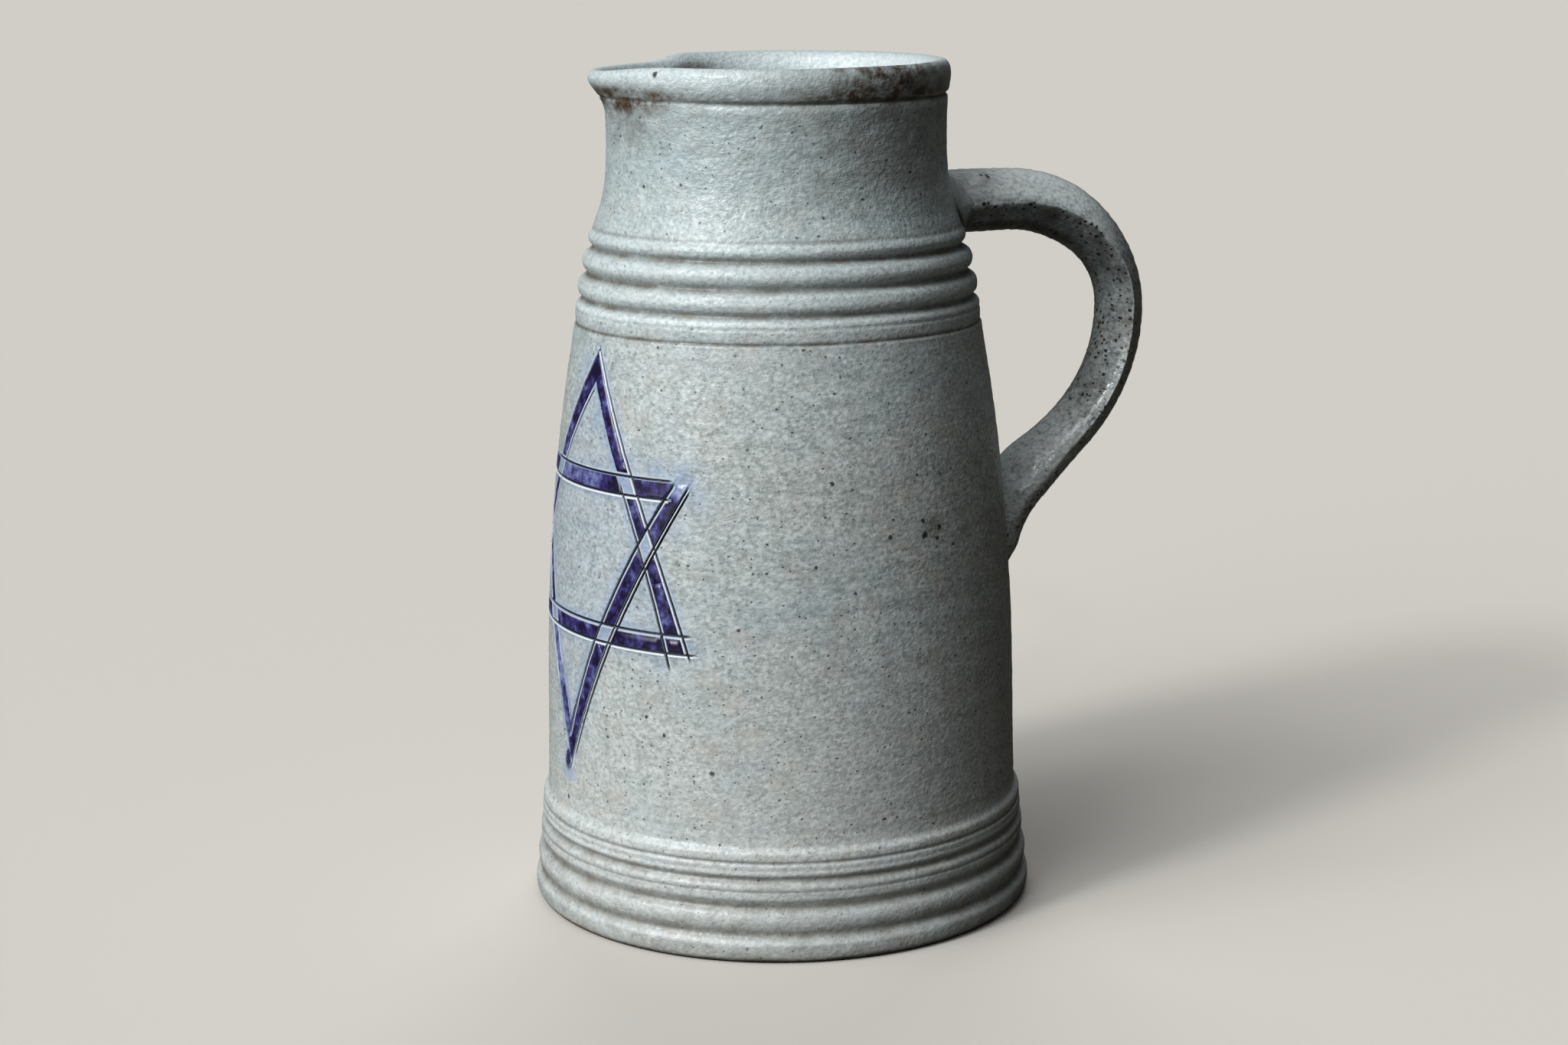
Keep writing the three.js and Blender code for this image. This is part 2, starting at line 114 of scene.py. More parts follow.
def rounded(along: np.ndarray, values: np.ndarray, at: np.ndarray) -> np.ndarray:
    """A curve through the values that rounds every turn and never overshoots.

    Args:
        along: Where the values lie, rising.
        values: What the curve passes through.
        at: Where to read the curve.

    Returns:
        The curve at those places.
    """
    gap = np.diff(along)
    slope = np.diff(values) / gap
    lean = np.concatenate(([slope[0]], np.zeros(len(slope) - 1), [slope[-1]]))
    same = slope[:-1] * slope[1:] > 0
    before, after = 2 * gap[1:] + gap[:-1], gap[1:] + 2 * gap[:-1]
    with np.errstate(divide="ignore", invalid="ignore"):
        mean = (before + after) / (before / slope[:-1] + after / slope[1:])
    lean[1:-1] = np.where(same, mean, 0)
    cell = np.clip(np.searchsorted(along, at, side="right") - 1, 0, len(gap) - 1)
    t = (at - along[cell]) / gap[cell]
    rise = gap[cell] * (lean[cell] * t * (1 - t) ** 2 - lean[cell + 1] * t * t * (1 - t))
    return values[cell] + (values[cell + 1] - values[cell]) * t * t * (3 - 2 * t) + rise


def lengths_along(line: np.ndarray) -> np.ndarray:
    """How far along a line each of its points lies."""
    return np.concatenate(([0], np.cumsum(np.linalg.norm(np.diff(line, axis=0), axis=1))))


def leftwards(line: np.ndarray) -> np.ndarray:
    """The direction to the left of a line, at each of its points."""
    along = np.gradient(line, axis=0)
    return np.stack([-along[:, 1], along[:, 0]], axis=1) / np.linalg.norm(along, axis=1)[:, None]


def ring_faces(rings: int, sides: int, closed: bool = False) -> Faces:
    """Joins rings of vertices, which are numbered ring by ring.

    Args:
        rings: How many rings there are.
        sides: How many vertices each has.
        closed: Whether the last ring joins the first.

    Returns:
        The quads, in the order of the vertices.
    """
    quads = []
    for i in range(rings if closed else rings - 1):
        here, there = i * sides, (i + 1) % rings * sides
        for j in range(sides):
            after = (j + 1) % sides
            quads.append((here + j, here + after, there + after, there + j))
    return quads


def cap_faces(rings: int, sides: int, middle: int) -> Faces:
    """Closes both ends of such rings.

    Args:
        rings: How many rings there are.
        sides: How many vertices each has.
        middle: The number of the vertex amid the first ring. The one amid the last ring comes next.

    Returns:
        The triangles.
    """
    last = (rings - 1) * sides
    caps = [(middle, (j + 1) % sides, j) for j in range(sides)]
    return caps + [(middle + 1, last + j, last + (j + 1) % sides) for j in range(sides)]


def plate_faces(upper: Faces, size: int) -> Faces:
    """Closes a thin plate.

    Args:
        upper: The faces of its upper side.
        size: How many vertices that side has. Those of its lower side follow in the same order.

    Returns:
        The upper faces, the lower ones and those round its edge.
    """
    lower = [tuple(size + i for i in reversed(face)) for face in upper]
    sides = {(a, b) for face in upper for a, b in zip(face, face[1:] + face[:1])}
    return upper + lower + [(b, a, a + size, b + size) for a, b in sorted(sides) if (b, a) not in sides]


def new_piece(
    name: str, points: np.ndarray, faces: Faces, material: bpy.types.Material
) -> bpy.types.Object:
    """Makes a smooth mesh object from points in millimetres.

    Args:
        name: The piece's name.
        points: One row for each vertex.
        faces: Vertex numbers of each face, anticlockwise seen from outside.
        material: Its finish.

    Returns:
        The object, at the origin.
    """
    mesh = bpy.data.meshes.new(name)
    mesh.from_pydata((np.asarray(points) * MM).tolist(), [], faces)
    mesh.validate()
    mesh.shade_smooth()
    mesh.materials.append(material)
    piece = bpy.data.objects.new(name, mesh)
    bpy.context.scene.collection.objects.link(piece)
    return piece


def paint(piece: bpy.types.Object, name: str, values: np.ndarray) -> None:
    """Stores four values for each vertex, which a finish reads by name."""
    layer = piece.data.attributes.new(name, "FLOAT_COLOR", "POINT")
    layer.data.foreach_set("color", np.asarray(values, np.float32).ravel())


def clear_marks(
    piece: bpy.types.Object, groove: np.ndarray | float = 0.0, crest: np.ndarray | float = 0.0,
    crack: np.ndarray | float = 0.0, glint: np.ndarray | float = 0.0,
) -> None:
    """Stores the marks of a piece away from the star, because a finish reads missing ones as full.

    Args:
        piece: The piece.
        groove: How dark each vertex is with pooled glaze, from 0 to 1.
        crest: How thin and pale the glaze is there, partly painted light.
        crack: How deep in a crack it lies, where it is painted near-black as shade.
        glint: How much painted white highlight it carries.
    """
    for name, pair in (("clay_marks", (groove, crest)), ("star_marks", (crack, glint))):
        marks = np.zeros((len(piece.data.vertices), 4))
        for channel, values in enumerate(pair):
            marks[:, channel] = np.ravel(values)
        paint(piece, name, marks)


def seat(piece: bpy.types.Object, node: str) -> None:
    """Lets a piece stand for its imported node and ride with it.

    Args:
        piece: The piece.
        node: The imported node's name.
    """
    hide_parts(node)
    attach(piece, BODY)
    log.info("%s: %d faces, for %s", piece.name, len(piece.data.polygons), node)


def fresh_tree(owner: bpy.types.Material | bpy.types.World) -> bpy.types.NodeTree:
    """Gives a material or a world an empty node tree.

    Args:
        owner: The material or world.

    Returns:
        Its tree.
    """
    owner.use_nodes = True
    owner.node_tree.nodes.clear()
    return owner.node_tree


def add(tree: bpy.types.NodeTree, kind: str, inputs: dict | None = None, **settings) -> bpy.types.Node:
    """Adds a node to a tree.

    Args:
        tree: The node tree.
        kind: The node's type name.
        inputs: Values or sockets for its inputs, by name or number.
        **settings: Its other properties.

    Returns:
        The node.
    """
    node = tree.nodes.new(kind)
    for key, value in settings.items():
        setattr(node, key, value)
    for key, value in (inputs or {}).items():
        if isinstance(value, Socket):
            tree.links.new(value, node.inputs[key])
        else:
            node.inputs[key].default_value = value
    return node


# Finishes


@dataclass(frozen=True)
class Mark:
    """A round spot in a finish: its place on the pot, its size and colour, how full it is and how sharp."""

    bearing: float
    height: float
    radius: float
    size: float
    colour: str
    share: float = 0.92
    core: float = 0.75


@dataclass(frozen=True)
class SaltGlaze:
    """Salt-glazed stoneware: grey clay that salt vapour glazed in the kiln.

    The glaze is a thin clear skin that beads up like orange peel, so highlights break into small glints.
    Iron in the clay burns through it as dark specks. The glaze runs off edges and pools olive in grooves.
    """

    name: str
    pale: str = "#cdd5d4"
    grey: str = "#7b8482"
    cool: str = "#93a6ae"
    warm: str = "#a79d92"
    high_tint: str = "#b4ccd2"
    # Paler near the foot: partly the glaze's tone, partly painted light from the floor
    low_tint: str = "#d4d6d2"
    speck: str = "#35302a"
    grit: str = "#3a3933"
    # Pooled glaze; also the colour of painted shade in grooves, chips, the foot's edge and the far side of
    # the mouth
    pooled: str = "#4d4536"
    thin: str = "#d4dfe1"
    inner: str = "#aeb5b3"
    bare: str = "#8f8573"
    # Near-black of cuts, cracks and the foot's contact line: partly pooled cobalt, partly painted shade
    cut: str = "#0c0b18"
    # White of the painted highlights on burrs and on the handle's glaze drop
    burr: str = "#eef2f2"
    haze: str = "#7a9ac6"
    soaked: str = "#221f4a"
    stain: str = "#4a3b2b"
    mottle_mm: float = 1.5
    drag: float = 1.3
    streak_drag: float = 9.0
    cloud_mm: float = 5.0
    fleck_mm: float = 0.95
    flecks: float = 0.36
    jitter_mm: float = 1.2
    grit_mm: float = 2.1
    grit_share: float = 0.85
    grit_rare: float = 0.25
    grit_reach: float = 0.22
    drift_mm: float = 10.0
    patch_mm: float = 26.0
    streak_mm: float = 16.0
    speck_mm: float = 4.2
    speck_share: float = 0.9
    speck_rare: float = 0.66
    speck_reach: float = 0.16
    peel_mm: float = 1.7
    peel_depth: float = 0.42
    roughness: float = 0.38
    fray: float = 1.4
    fray_edge: float = 1.7
    marks: tuple[Mark, ...] = ()

    def make(self) -> bpy.types.Material:
        """Builds the finish: coats of colour, each laid over those before it, under a beaded glossy skin.

        Returns:
            The material.
        """
        material = bpy.data.materials.new(self.name)
        node = partial(add, fresh_tree(material))
        place = node("ShaderNodeTexCoord").outputs["Object"]
        rise = node("ShaderNodeSeparateXYZ", {0: place}).outputs["Z"]
        clay, star = (
            node("ShaderNodeAttribute", attribute_name=name).outputs
            for name in ("clay_marks", "star_marks")
        )
        groove, crest, inside = node("ShaderNodeSeparateColor", {0: clay["Color"]}).outputs
        cut, burr, haze = node("ShaderNodeSeparateColor", {0: star["Color"]}).outputs
        noise = self.noises(node, place)
        mottle, clouds, drift = noise["mottle"], noise["clouds"], noise["drift"]
        blotch = node(
            "ShaderNodeMath", {0: mottle, 1: 0.45, 2: clouds}, operation="MULTIPLY_ADD"
        ).outputs[0]
        glazed = node("ShaderNodeMath", {0: crest, 1: inside}, operation="MAXIMUM").outputs[0]

        # Each pattern goes from its low to its high end over a range of its source. The skin beads more
        # on the neck than below it, and is glossier where it is pale.
        dull, glossy = self.roughness + 0.14, self.roughness - 0.08
        grain, open_clay, worn, uneven, stained_and_shaded, soak, strong, beading, gloss = (
            node("ShaderNodeMapRange", {0: source, 1: low, 2: high, 3: least, 4: most}).outputs[0]
            for source, low, high, least, most in (
                (mottle, 0.3, 0.7, 0.0, 1.0), (glazed, 0.0, 1.0, 1.0, 0.0), (mottle, 0.3, 0.6, 0.25, 0.9),
                (drift, 0.3, 0.6, 0.6, 1.0), (blotch, 0.58, 0.84, 0.4, 1.0), (mottle, 0.3, 0.7, 0.45, 1.15),
                (haze, 0.6, 1.0, 0.0, 1.0), (rise, 0.2, 0.22, 0.6, 1.0), (mottle, 0.3, 0.7, dull, glossy),
            )
        )
        lining, cobalt = (
            node("ShaderNodeMix", {0: share, 6: to_linear(a), 7: to_linear(b)}, data_type="RGBA")
            .outputs[2]
            for share, a, b in ((grain, self.cool, self.inner), (strong, self.haze, self.soaked))
        )

        # Each coat: its share, a pattern that breaks it up, and its colour. After the clay's own colours,
        # paled near the foot partly by painted light from the floor, and its iron come the lining of the
        # hollow, then thin glaze with painted highlights, pooled glaze with painted shade, stains partly
        # standing for shade, and missing glaze, then the star's blue haze, the painted white highlights of
        # burrs and glints, and the near-black of cuts and cracks, partly painted shade.
        coats = [
            (grain, None, self.pale),
            *self.clouds(node, noise, rise),
            *((specks, open_clay, tint) for specks, tint in self.iron(node, noise)),
            (inside, None, lining),
            (crest, worn, self.thin),
            (groove, uneven, self.pooled),
            (star["Alpha"], stained_and_shaded, self.stain),
            (clay["Alpha"], uneven, self.bare),
            (haze, soak, cobalt),
            (burr, None, self.burr),
            (cut, None, self.cut),
            *self.spots(node, place, noise["flecks"]),
        ]
        colour = to_linear(self.grey)
        for share, pattern, tint in coats:
            if pattern is not None:
                share = node("ShaderNodeMath", {0: share, 1: pattern}, operation="MULTIPLY").outputs[0]
            over = to_linear(tint) if isinstance(tint, str) else tint
            colour = node("ShaderNodeMix", {0: share, 6: colour, 7: over}, data_type="RGBA").outputs[2]
        bump = node(
            "ShaderNodeBump",
            {"Strength": beading, "Distance": self.peel_depth * MM, "Height": noise["peel"]},
        ).outputs["Normal"]
        shader = node(
            "ShaderNodeBsdfPrincipled",
            {"Base Color": colour, "Roughness": gloss, "IOR": 1.5, "Normal": bump},
        )
        node("ShaderNodeOutputMaterial", {"Surface": shader.outputs["BSDF"]})
        return material

    def noises(self, node: Adder, place: Socket) -> dict[str, Socket]:
        """Adds the noises that make the glaze uneven.

        The wheel drags the clay round, so the mottle is wider than tall. The real peel and grit are about
        half as wide as drawn here, which is too fine to show in the render.

        Args:
            node: Adds a node to the finish.
            place: Where a point lies on the pot.

        Returns:
            The noises by name, and the dragged place.
        """
        dragged, turned = (
            node("ShaderNodeMapping", {"Vector": place, "Scale": (1, 1, squeeze)}).outputs[0]
            for squeeze in (self.drag, self.streak_drag)
        )
        kinds = {
            "mottle": (dragged, self.mottle_mm, 4.0), "clouds": (dragged, self.cloud_mm, 3.0),
            "flecks": (place, self.fleck_mm, 2.0), "drift": (place, self.drift_mm, 3.0),
            "patches": (place, self.patch_mm, 3.0), "peel": (dragged, self.peel_mm, 2.5),
            "streaks": (turned, self.streak_mm, 2.0),
        }
        found = {"dragged": dragged}
        for name, (vector, size, detail) in kinds.items():
            found[name] = node(
                "ShaderNodeTexNoise",
                {"Vector": vector, "Scale": 1 / (size * MM), "Detail": detail, "Roughness": 0.6},
            ).outputs["Fac"]
        return found

    def clouds(self, node: Adder, noise: dict[str, Socket], rise: Socket) -> Coats:
        """Adds the clouds in the glaze, which ran thicker and bluer high up than at the foot, and a paler
        tone near the foot that is partly painted light thrown up from the floor.

        Args:
            node: Adds a node to the finish.
            noise: The noises by name.
            rise: The height of a point, in metres.

        Returns:
            Their coats.
        """
        coats = []
        for pattern, low, high, most, tint in (
            (noise["patches"], 0.45, 0.72, 0.4, self.cool), (noise["drift"], 0.5, 0.75, 0.45, self.warm),
            (noise["clouds"], 0.52, 0.75, 0.5, self.grey), (noise["clouds"], 0.48, 0.25, 0.4, self.pale),
            (noise["streaks"], 0.52, 0.75, 0.35, self.grey),
            (rise, 0.15, 0.25, 0.35, self.high_tint), (rise, 0.11, 0.02, 0.26, self.low_tint),
        ):
            share = node("ShaderNodeMapRange", {0: pattern, 1: low, 2: high, 4: most}).outputs[0]
            coats.append((share, None, tint))
        return coats

    def iron(self, node: Adder, noise: dict[str, Socket]) -> list[tuple[Socket, str]]:
        """Adds the clay's iron: soft flecks in clusters, fine grit, and rare larger specks.

        Args:
            node: Adds a node to the finish.
            noise: The noises by name.

        Returns:
            The share and the colour of each.
        """
        flecks, clouds = noise["flecks"], noise["clouds"]
        fine = node("ShaderNodeMapRange", {0: flecks, 1: 0.6, 2: 0.7, 4: self.flecks}).outputs[0]
        cluster = node("ShaderNodeMapRange", {0: clouds, 1: 0.4, 2: 0.62, 3: 0.15, 4: 1.0}).outputs[0]
        share = node("ShaderNodeMath", {0: fine, 1: cluster}, operation="MULTIPLY").outputs[0]
        found = [(share, self.speck)]
        jitter = node(
            "ShaderNodeVectorMath",
            {0: flecks, 1: (self.jitter_mm * MM,) * 3, 2: noise["dragged"]}, operation="MULTIPLY_ADD",
        ).outputs[0]
        for size, rare, widest, most, tint in (
            (self.grit_mm, self.grit_rare, self.grit_reach, self.grit_share, self.grit),
            (self.speck_mm, self.speck_rare, self.speck_reach, self.speck_share, self.speck),
        ):
            cells = node("ShaderNodeTexVoronoi", {"Vector": jitter, "Scale": 1 / (size * MM)}).outputs
            chance = node("ShaderNodeSeparateColor", {0: cells["Color"]}).outputs[0]
            reach = node("ShaderNodeMapRange", {0: chance, 1: rare, 2: 1.0, 4: widest}).outputs[0]
            depth = node(
                "ShaderNodeMath", {0: reach, 1: cells["Distance"]}, operation="SUBTRACT"
            ).outputs[0]
            share = node("ShaderNodeMapRange", {0: depth, 1: -0.03, 2: 0.04, 4: most}).outputs[0]
            found.append((share, tint))
        return found

    def spots(self, node: Adder, place: Socket, flecks: Socket) -> Coats:
        """Adds the finish's marks, which fray at their edges.

        Args:
            node: Adds a node to the finish.
            place: Where a point lies on the pot.
            flecks: The noise that frays them.

        Returns:
            Their coats.
        """
        coats = []
        for mark in self.marks:
            turn = math.radians(mark.bearing)
            spot = Vector((mark.radius * math.cos(turn), mark.radius * math.sin(turn), mark.height)) * MM
            away = node("ShaderNodeVectorMath", {0: place, 1: spot}, operation="DISTANCE").outputs["Value"]
            fray, edge = self.fray * mark.size * MM, self.fray_edge * mark.size * MM
            frayed = node(
                "ShaderNodeMath", {0: flecks, 1: fray, 2: away}, operation="MULTIPLY_ADD"
            ).outputs[0]
            share = node(
                "ShaderNodeMapRange", {0: frayed, 1: edge, 2: edge * mark.core, 4: mark.share}
            ).outputs[0]
            coats.append((share, None, mark.colour))
        return coats


@dataclass(frozen=True)
class CobaltSmalt:
    """Cobalt smalt: blue glass powder brushed on the raw clay and fired under the salt glaze.

    It sinks in unevenly, so thick brush strokes go to indigo black and thin ones to pale blue.
    """

    name: str
    deep: str = "#17122e"
    mid: str = "#342f66"
    washed: str = "#666ea0"
    thin: str = "#a0abbf"
    stroke_mm: float = 3.2
    grain_mm: float = 0.9
    peel_mm: float = 1.3
    peel_depth: float = 0.14
    roughness: float = 0.3

    def make(self) -> bpy.types.Material:
        """Builds the finish.

        Returns:
            The material.
        """
        material = bpy.data.materials.new(self.name)
        node = partial(add, fresh_tree(material))
        place = node("ShaderNodeTexCoord").outputs["Object"]
        wash = node("ShaderNodeAttribute", attribute_name="wash").outputs["Fac"]
        strokes, grain, peel = (
            node(
                "ShaderNodeTexNoise",
                {"Vector": place, "Scale": 1 / (size * MM), "Detail": detail, "Roughness": harshness},
            ).outputs["Fac"]
            for size, detail, harshness in (
                (self.stroke_mm, 3.0, 0.6), (self.grain_mm, 2.0, 0.5), (self.peel_mm, 3.0, 0.55)
            )
        )
        thinned = node("ShaderNodeMapRange", {0: strokes, 1: 0.3, 2: 0.7, 4: 0.5}).outputs[0]
        for pattern, weight in ((grain, 0.25), (wash, 0.6)):
            thinned = node(
                "ShaderNodeMath", {0: pattern, 1: weight, 2: thinned}, operation="MULTIPLY_ADD"
            ).outputs[0]
        ramp = node("ShaderNodeValToRGB", {0: thinned})
        stops = ramp.color_ramp.elements
        stops[0].position, stops[0].color = 0.24, to_linear(self.deep)
        stops[1].position, stops[1].color = 0.95, to_linear(self.thin)
        stops.new(0.43).color = to_linear(self.mid)
        stops.new(0.66).color = to_linear(self.washed)
        bump = node(
            "ShaderNodeBump", {"Strength": 0.4, "Distance": self.peel_depth * MM, "Height": peel}
        ).outputs["Normal"]
        shader = node(
            "ShaderNodeBsdfPrincipled",
            {"Base Color": ramp.outputs["Color"], "Roughness": self.roughness, "IOR": 1.52, "Normal": bump},
        )
        node("ShaderNodeOutputMaterial", {"Surface": shader.outputs["BSDF"]})
        return material


# The star


class Triangle(Enum):
    """The star's two triangles by their outer corners: along the wall, height. Each side may bow out."""

    UPRIGHT = (((2.5, 177.0), (-45.2, 91.2), (45.2, 91.2)), (3.4, 0.0, 3.4))
    INVERTED = (((-2.5, 49.7), (45.2, 141.5), (-45.2, 141.5)), (-2.2, 0.0, -2.2))

    @property
    def corners(self) -> np.ndarray:
        """Its corners, anticlockwise seen from outside."""
        return np.array(self.value[0])

    @property
    def other(self) -> "Triangle":
        """The triangle that it crosses."""
        return Triangle.INVERTED if self is Triangle.UPRIGHT else Triangle.UPRIGHT

    def outwards(self) -> np.ndarray:
        """The direction out of each side."""
        along = np.roll(self.corners, -1, axis=0) - self.corners
        return np.stack([along[:, 1], -along[:, 0]], axis=1) / np.linalg.norm(along, axis=1)[:, None]

    def drawn_in(self, inset: float) -> np.ndarray:
        """Its corners when each side is moved in by some distance."""
        out, before = self.outwards(), np.roll(self.outwards(), 1, axis=0)
        return self.corners - (before + out) * inset / (1 + (before * out).sum(1))[:, None]

    def side(self, number: int, inset: float, share: np.ndarray) -> np.ndarray:
        """Points along one bowed side.

        Args:
            number: Which side, from the corner of that number to the next.
            inset: How far the side is moved in.
            share: 0 at the first corner, 1 at the next, and more or less beyond them.

        Returns:
            One row for each share.
        """
        corners = self.drawn_in(inset)
        first, last = corners[number], corners[(number + 1) % 3]
        bow = self.value[1][number] * 4 * share * (1 - share)
        return first + share[:, None] * (last - first) + bow[:, None] * self.outwards()[number]

    def insets(self, points: np.ndarray) -> np.ndarray:
        """How far points lie in from each side.

        Args:
            points: Places along the wall and up it.

        Returns:
            One row for each point, one column for each side.
        """
        found = []
        for number, out in enumerate(self.outwards()):
            first, last = self.corners[number], self.corners[(number + 1) % 3]
            length = np.linalg.norm(last - first)
            share = np.clip((points - first) @ (last - first) / length**2, 0, 1)
            found.append(self.value[1][number] * 4 * share * (1 - share) - (points - first) @ out)
        return np.stack(found, axis=1)


BAR_WIDTH = 5.4


@dataclass(frozen=True)
class Stroke:
    """One line cut into the raw clay along a side of a triangle.

    It runs past the side's first and last corner, or stops short of them. Its burr stands to the left of
    its way where lit is positive, and to the right where it is negative; the finish paints it white as a
    highlight, fully on the lit side and faintly on the other. Over the bare length at its end there is no
    cut, and only the brush followed the line.
    """

    triangle: Triangle
    side: int
    inset: float
    before: float
    after: float
    lit: float
    width: float = 1.0
    bare: float = 0.0

    def line(self, step: float) -> np.ndarray:
        """Points along the middle of the cut.

        Args:
            step: About how far apart they lie.

        Returns:
            One row for each point.
        """
        corners = self.triangle.drawn_in(self.inset)
        length = np.linalg.norm(corners[(self.side + 1) % 3] - corners[self.side])
        count = max(2, round((length + self.before + self.after) / step))
        shares = np.linspace(-self.before / length, 1 + self.after / length, count)
        return self.triangle.side(self.side, self.inset, shares)


@dataclass
class IncisedStar:
    """The six-pointed star: cut lines, the colour between them, and the patch of wall that carries them.

    Bleeds are blots beside the lines, and washes are places where the colour is thin or, below 0, thick.
    Each is given by its place along the wall and up it, its size and its strength.
    """

    bearing: float = 197.0
    bar_width: float = BAR_WIDTH
    cut_half_width: float = 0.42
    cut_depth: float = 0.65
    burr_height: float = 0.2
    burr_at: float = 0.66
    burr_end: float = 1.05
    far_burr: float = 0.25
    taper: float = 2.6
    line_step: float = 1.0
    fill_step: float = 1.7
    fill_rows: float = 0.87
    colour_lift: float = 0.03
    colour_dome: float = 0.05
    colour_edge: float = 1.6
    colour_sink: float = 0.3
    colour_reach: float = 0.98
    haze_beside: float = 0.52
    haze_within: float = 0.18
    haze_from: float = 2.5
    haze_width: float = 1.6
    haze_fade: float = 6.0
    half_turn: float = 47.0
    low: float = 44.0
    high: float = 179.5
    strokes: tuple[Stroke, ...] = (
        Stroke(Triangle.UPRIGHT, 0, 0, 1.0, 3.0, -0.4, 0.9),
        Stroke(Triangle.UPRIGHT, 0, BAR_WIDTH, 0.0, 8.5, -0.8, 0.85),
        Stroke(Triangle.UPRIGHT, 1, 0, 2.5, 3.0, -1.0, 0.75),
        Stroke(Triangle.UPRIGHT, 1, BAR_WIDTH, 7.0, 10.0, -0.4),
        Stroke(Triangle.UPRIGHT, 2, 0, 3.0, 1.6, 0.9, 0.75),
        Stroke(Triangle.UPRIGHT, 2, BAR_WIDTH, 11.5, -1.0, -0.6, 1.1, bare=30.0),
        Stroke(Triangle.INVERTED, 0, 0, 2.0, -1.0, -1.0, 0.8),
        Stroke(Triangle.INVERTED, 0, -1.17, -6.0, -4.0, 0.0, 0.75),
        Stroke(Triangle.INVERTED, 0, BAR_WIDTH, 4.0, 6.4, -0.5, 1.1),
        Stroke(Triangle.INVERTED, 1, 0, -6.0, 2.0, -0.35),
        Stroke(Triangle.INVERTED, 1, BAR_WIDTH, 2.5, 6.0, 1.0, 0.75),
        Stroke(Triangle.INVERTED, 2, 0, 2.5, 1.0, -0.5, 0.7, bare=26.0),
        Stroke(Triangle.INVERTED, 2, BAR_WIDTH, 6.0, -2.0, -0.4, 0.7, bare=16.0),
    )
    bleeds: Spots = (
        (-4.5, 168.0, 6.0, 0.5), (-9.0, 158.0, 6.0, 0.35), (9.5, 160.0, 5.0, 0.3),
        (5.0, 156.0, 4.0, 0.45), (24.0, 144.5, 4.0, 0.35), (33.0, 144.0, 4.0, 0.5),
        (42.0, 143.0, 4.5, 0.45), (47.0, 137.0, 4.0, 0.35), (41.0, 127.0, 4.0, 0.3),
        (45.5, 92.5, 4.0, 0.35), (36.0, 88.0, 4.0, 0.25), (-4.6, 51.8, 2.2, 1.3),
        (-4.9, 49.2, 2.6, 1.5), (-4.0, 45.0, 4.5, 0.55), (3.0, 62.0, 4.0, 0.3), (8.0, 74.0, 4.0, 0.25),
        (-16.0, 99.5, 5.0, 0.4), (-46.0, 141.0, 6.0, 0.5), (-46.0, 91.0, 6.0, 0.5),
    )
    washes: Spots = (
        (43.5, 139.5, 3.6, 1.1), (-10.0, 139.0, 9.0, 0.45), (6.0, 139.0, 5.0, 0.3),
        (-20.0, 84.0, 8.0, 0.8), (-14.0, 72.0, 7.0, 0.7), (-8.0, 61.0, 6.0, 0.5),
        (41.0, 94.0, 4.5, -0.4), (2.5, 171.0, 6.0, -0.3), (18.0, 94.0, 5.0, -0.4),
        (19.0, 139.5, 4.0, -0.4), (12.0, 147.0, 3.0, -0.5), (-3.0, 56.0, 4.0, -0.3),
    )

    def lines(self) -> list[np.ndarray]:
        """The middle line of each stroke."""
        return [stroke.line(self.line_step) for stroke in self.strokes]

    def nearest(self, points: np.ndarray) -> list[tuple[np.ndarray, np.ndarray]]:
        """Finds each stroke's nearest place.

        Args:
            points: Places along the wall and up it.

        Returns:
            For each stroke, how far the points lie to the left of it, and how deep it is cut there.
        """
        found = []
        row = np.arange(len(points))
        for stroke, line in zip(self.strokes, self.lines()):
            start, along = line[:-1], np.diff(line, axis=0)
            length = np.linalg.norm(along, axis=1)
            offset = points[:, None] - start[None]
            share = np.clip((offset * along[None]).sum(2) / length**2, 0, 1)
            gap = offset - share[..., None] * along[None]
            away = np.linalg.norm(gap, axis=2)
            best = away.argmin(1)
            turn = along[best, 0] * gap[row, best, 1] - along[best, 1] * gap[row, best, 0]
            passed = lengths_along(line)[best] + share[row, best] * length[best]
            to_end = np.minimum(passed, length.sum() - stroke.bare - passed)
            found.append((np.copysign(away[row, best], turn), smoothstep(-0.1, self.taper, to_end)))
        return found

    def relief(self, points: np.ndarray) -> tuple[np.ndarray, np.ndarray, np.ndarray]:
        """The cuts and burrs of the wall.

        Args:
            points: Places along the wall and up it.

        Returns:
            How far the wall stands over its plain shape, and how much points lie in a cut or on a burr.
        """
        cut, burr = np.zeros(len(points)), np.zeros(len(points))
        for stroke, (left, depth) in zip(self.strokes, self.nearest(points)):
            away = np.abs(left)
            half = self.cut_half_width * stroke.width
            cut = np.maximum(cut, depth * np.clip(1 - (away / half) ** 2, 0, 1))
            ridge = np.where(away < self.burr_at, away - half, self.burr_end - away)
            span = np.where(away < self.burr_at, self.burr_at - half, self.burr_end - self.burr_at)
            # The burr's share is also painted white in the finish as a highlight, fully on the lit side and
            # faintly on the other
            side = np.where(left * stroke.lit > 0, 1.0, self.far_burr)
            burr = np.maximum(burr, depth * abs(stroke.lit) * side * np.clip(ridge / span, 0, 1))
        burr = burr * (cut <= 0)
        return self.burr_height * burr - self.cut_depth * cut, cut, burr

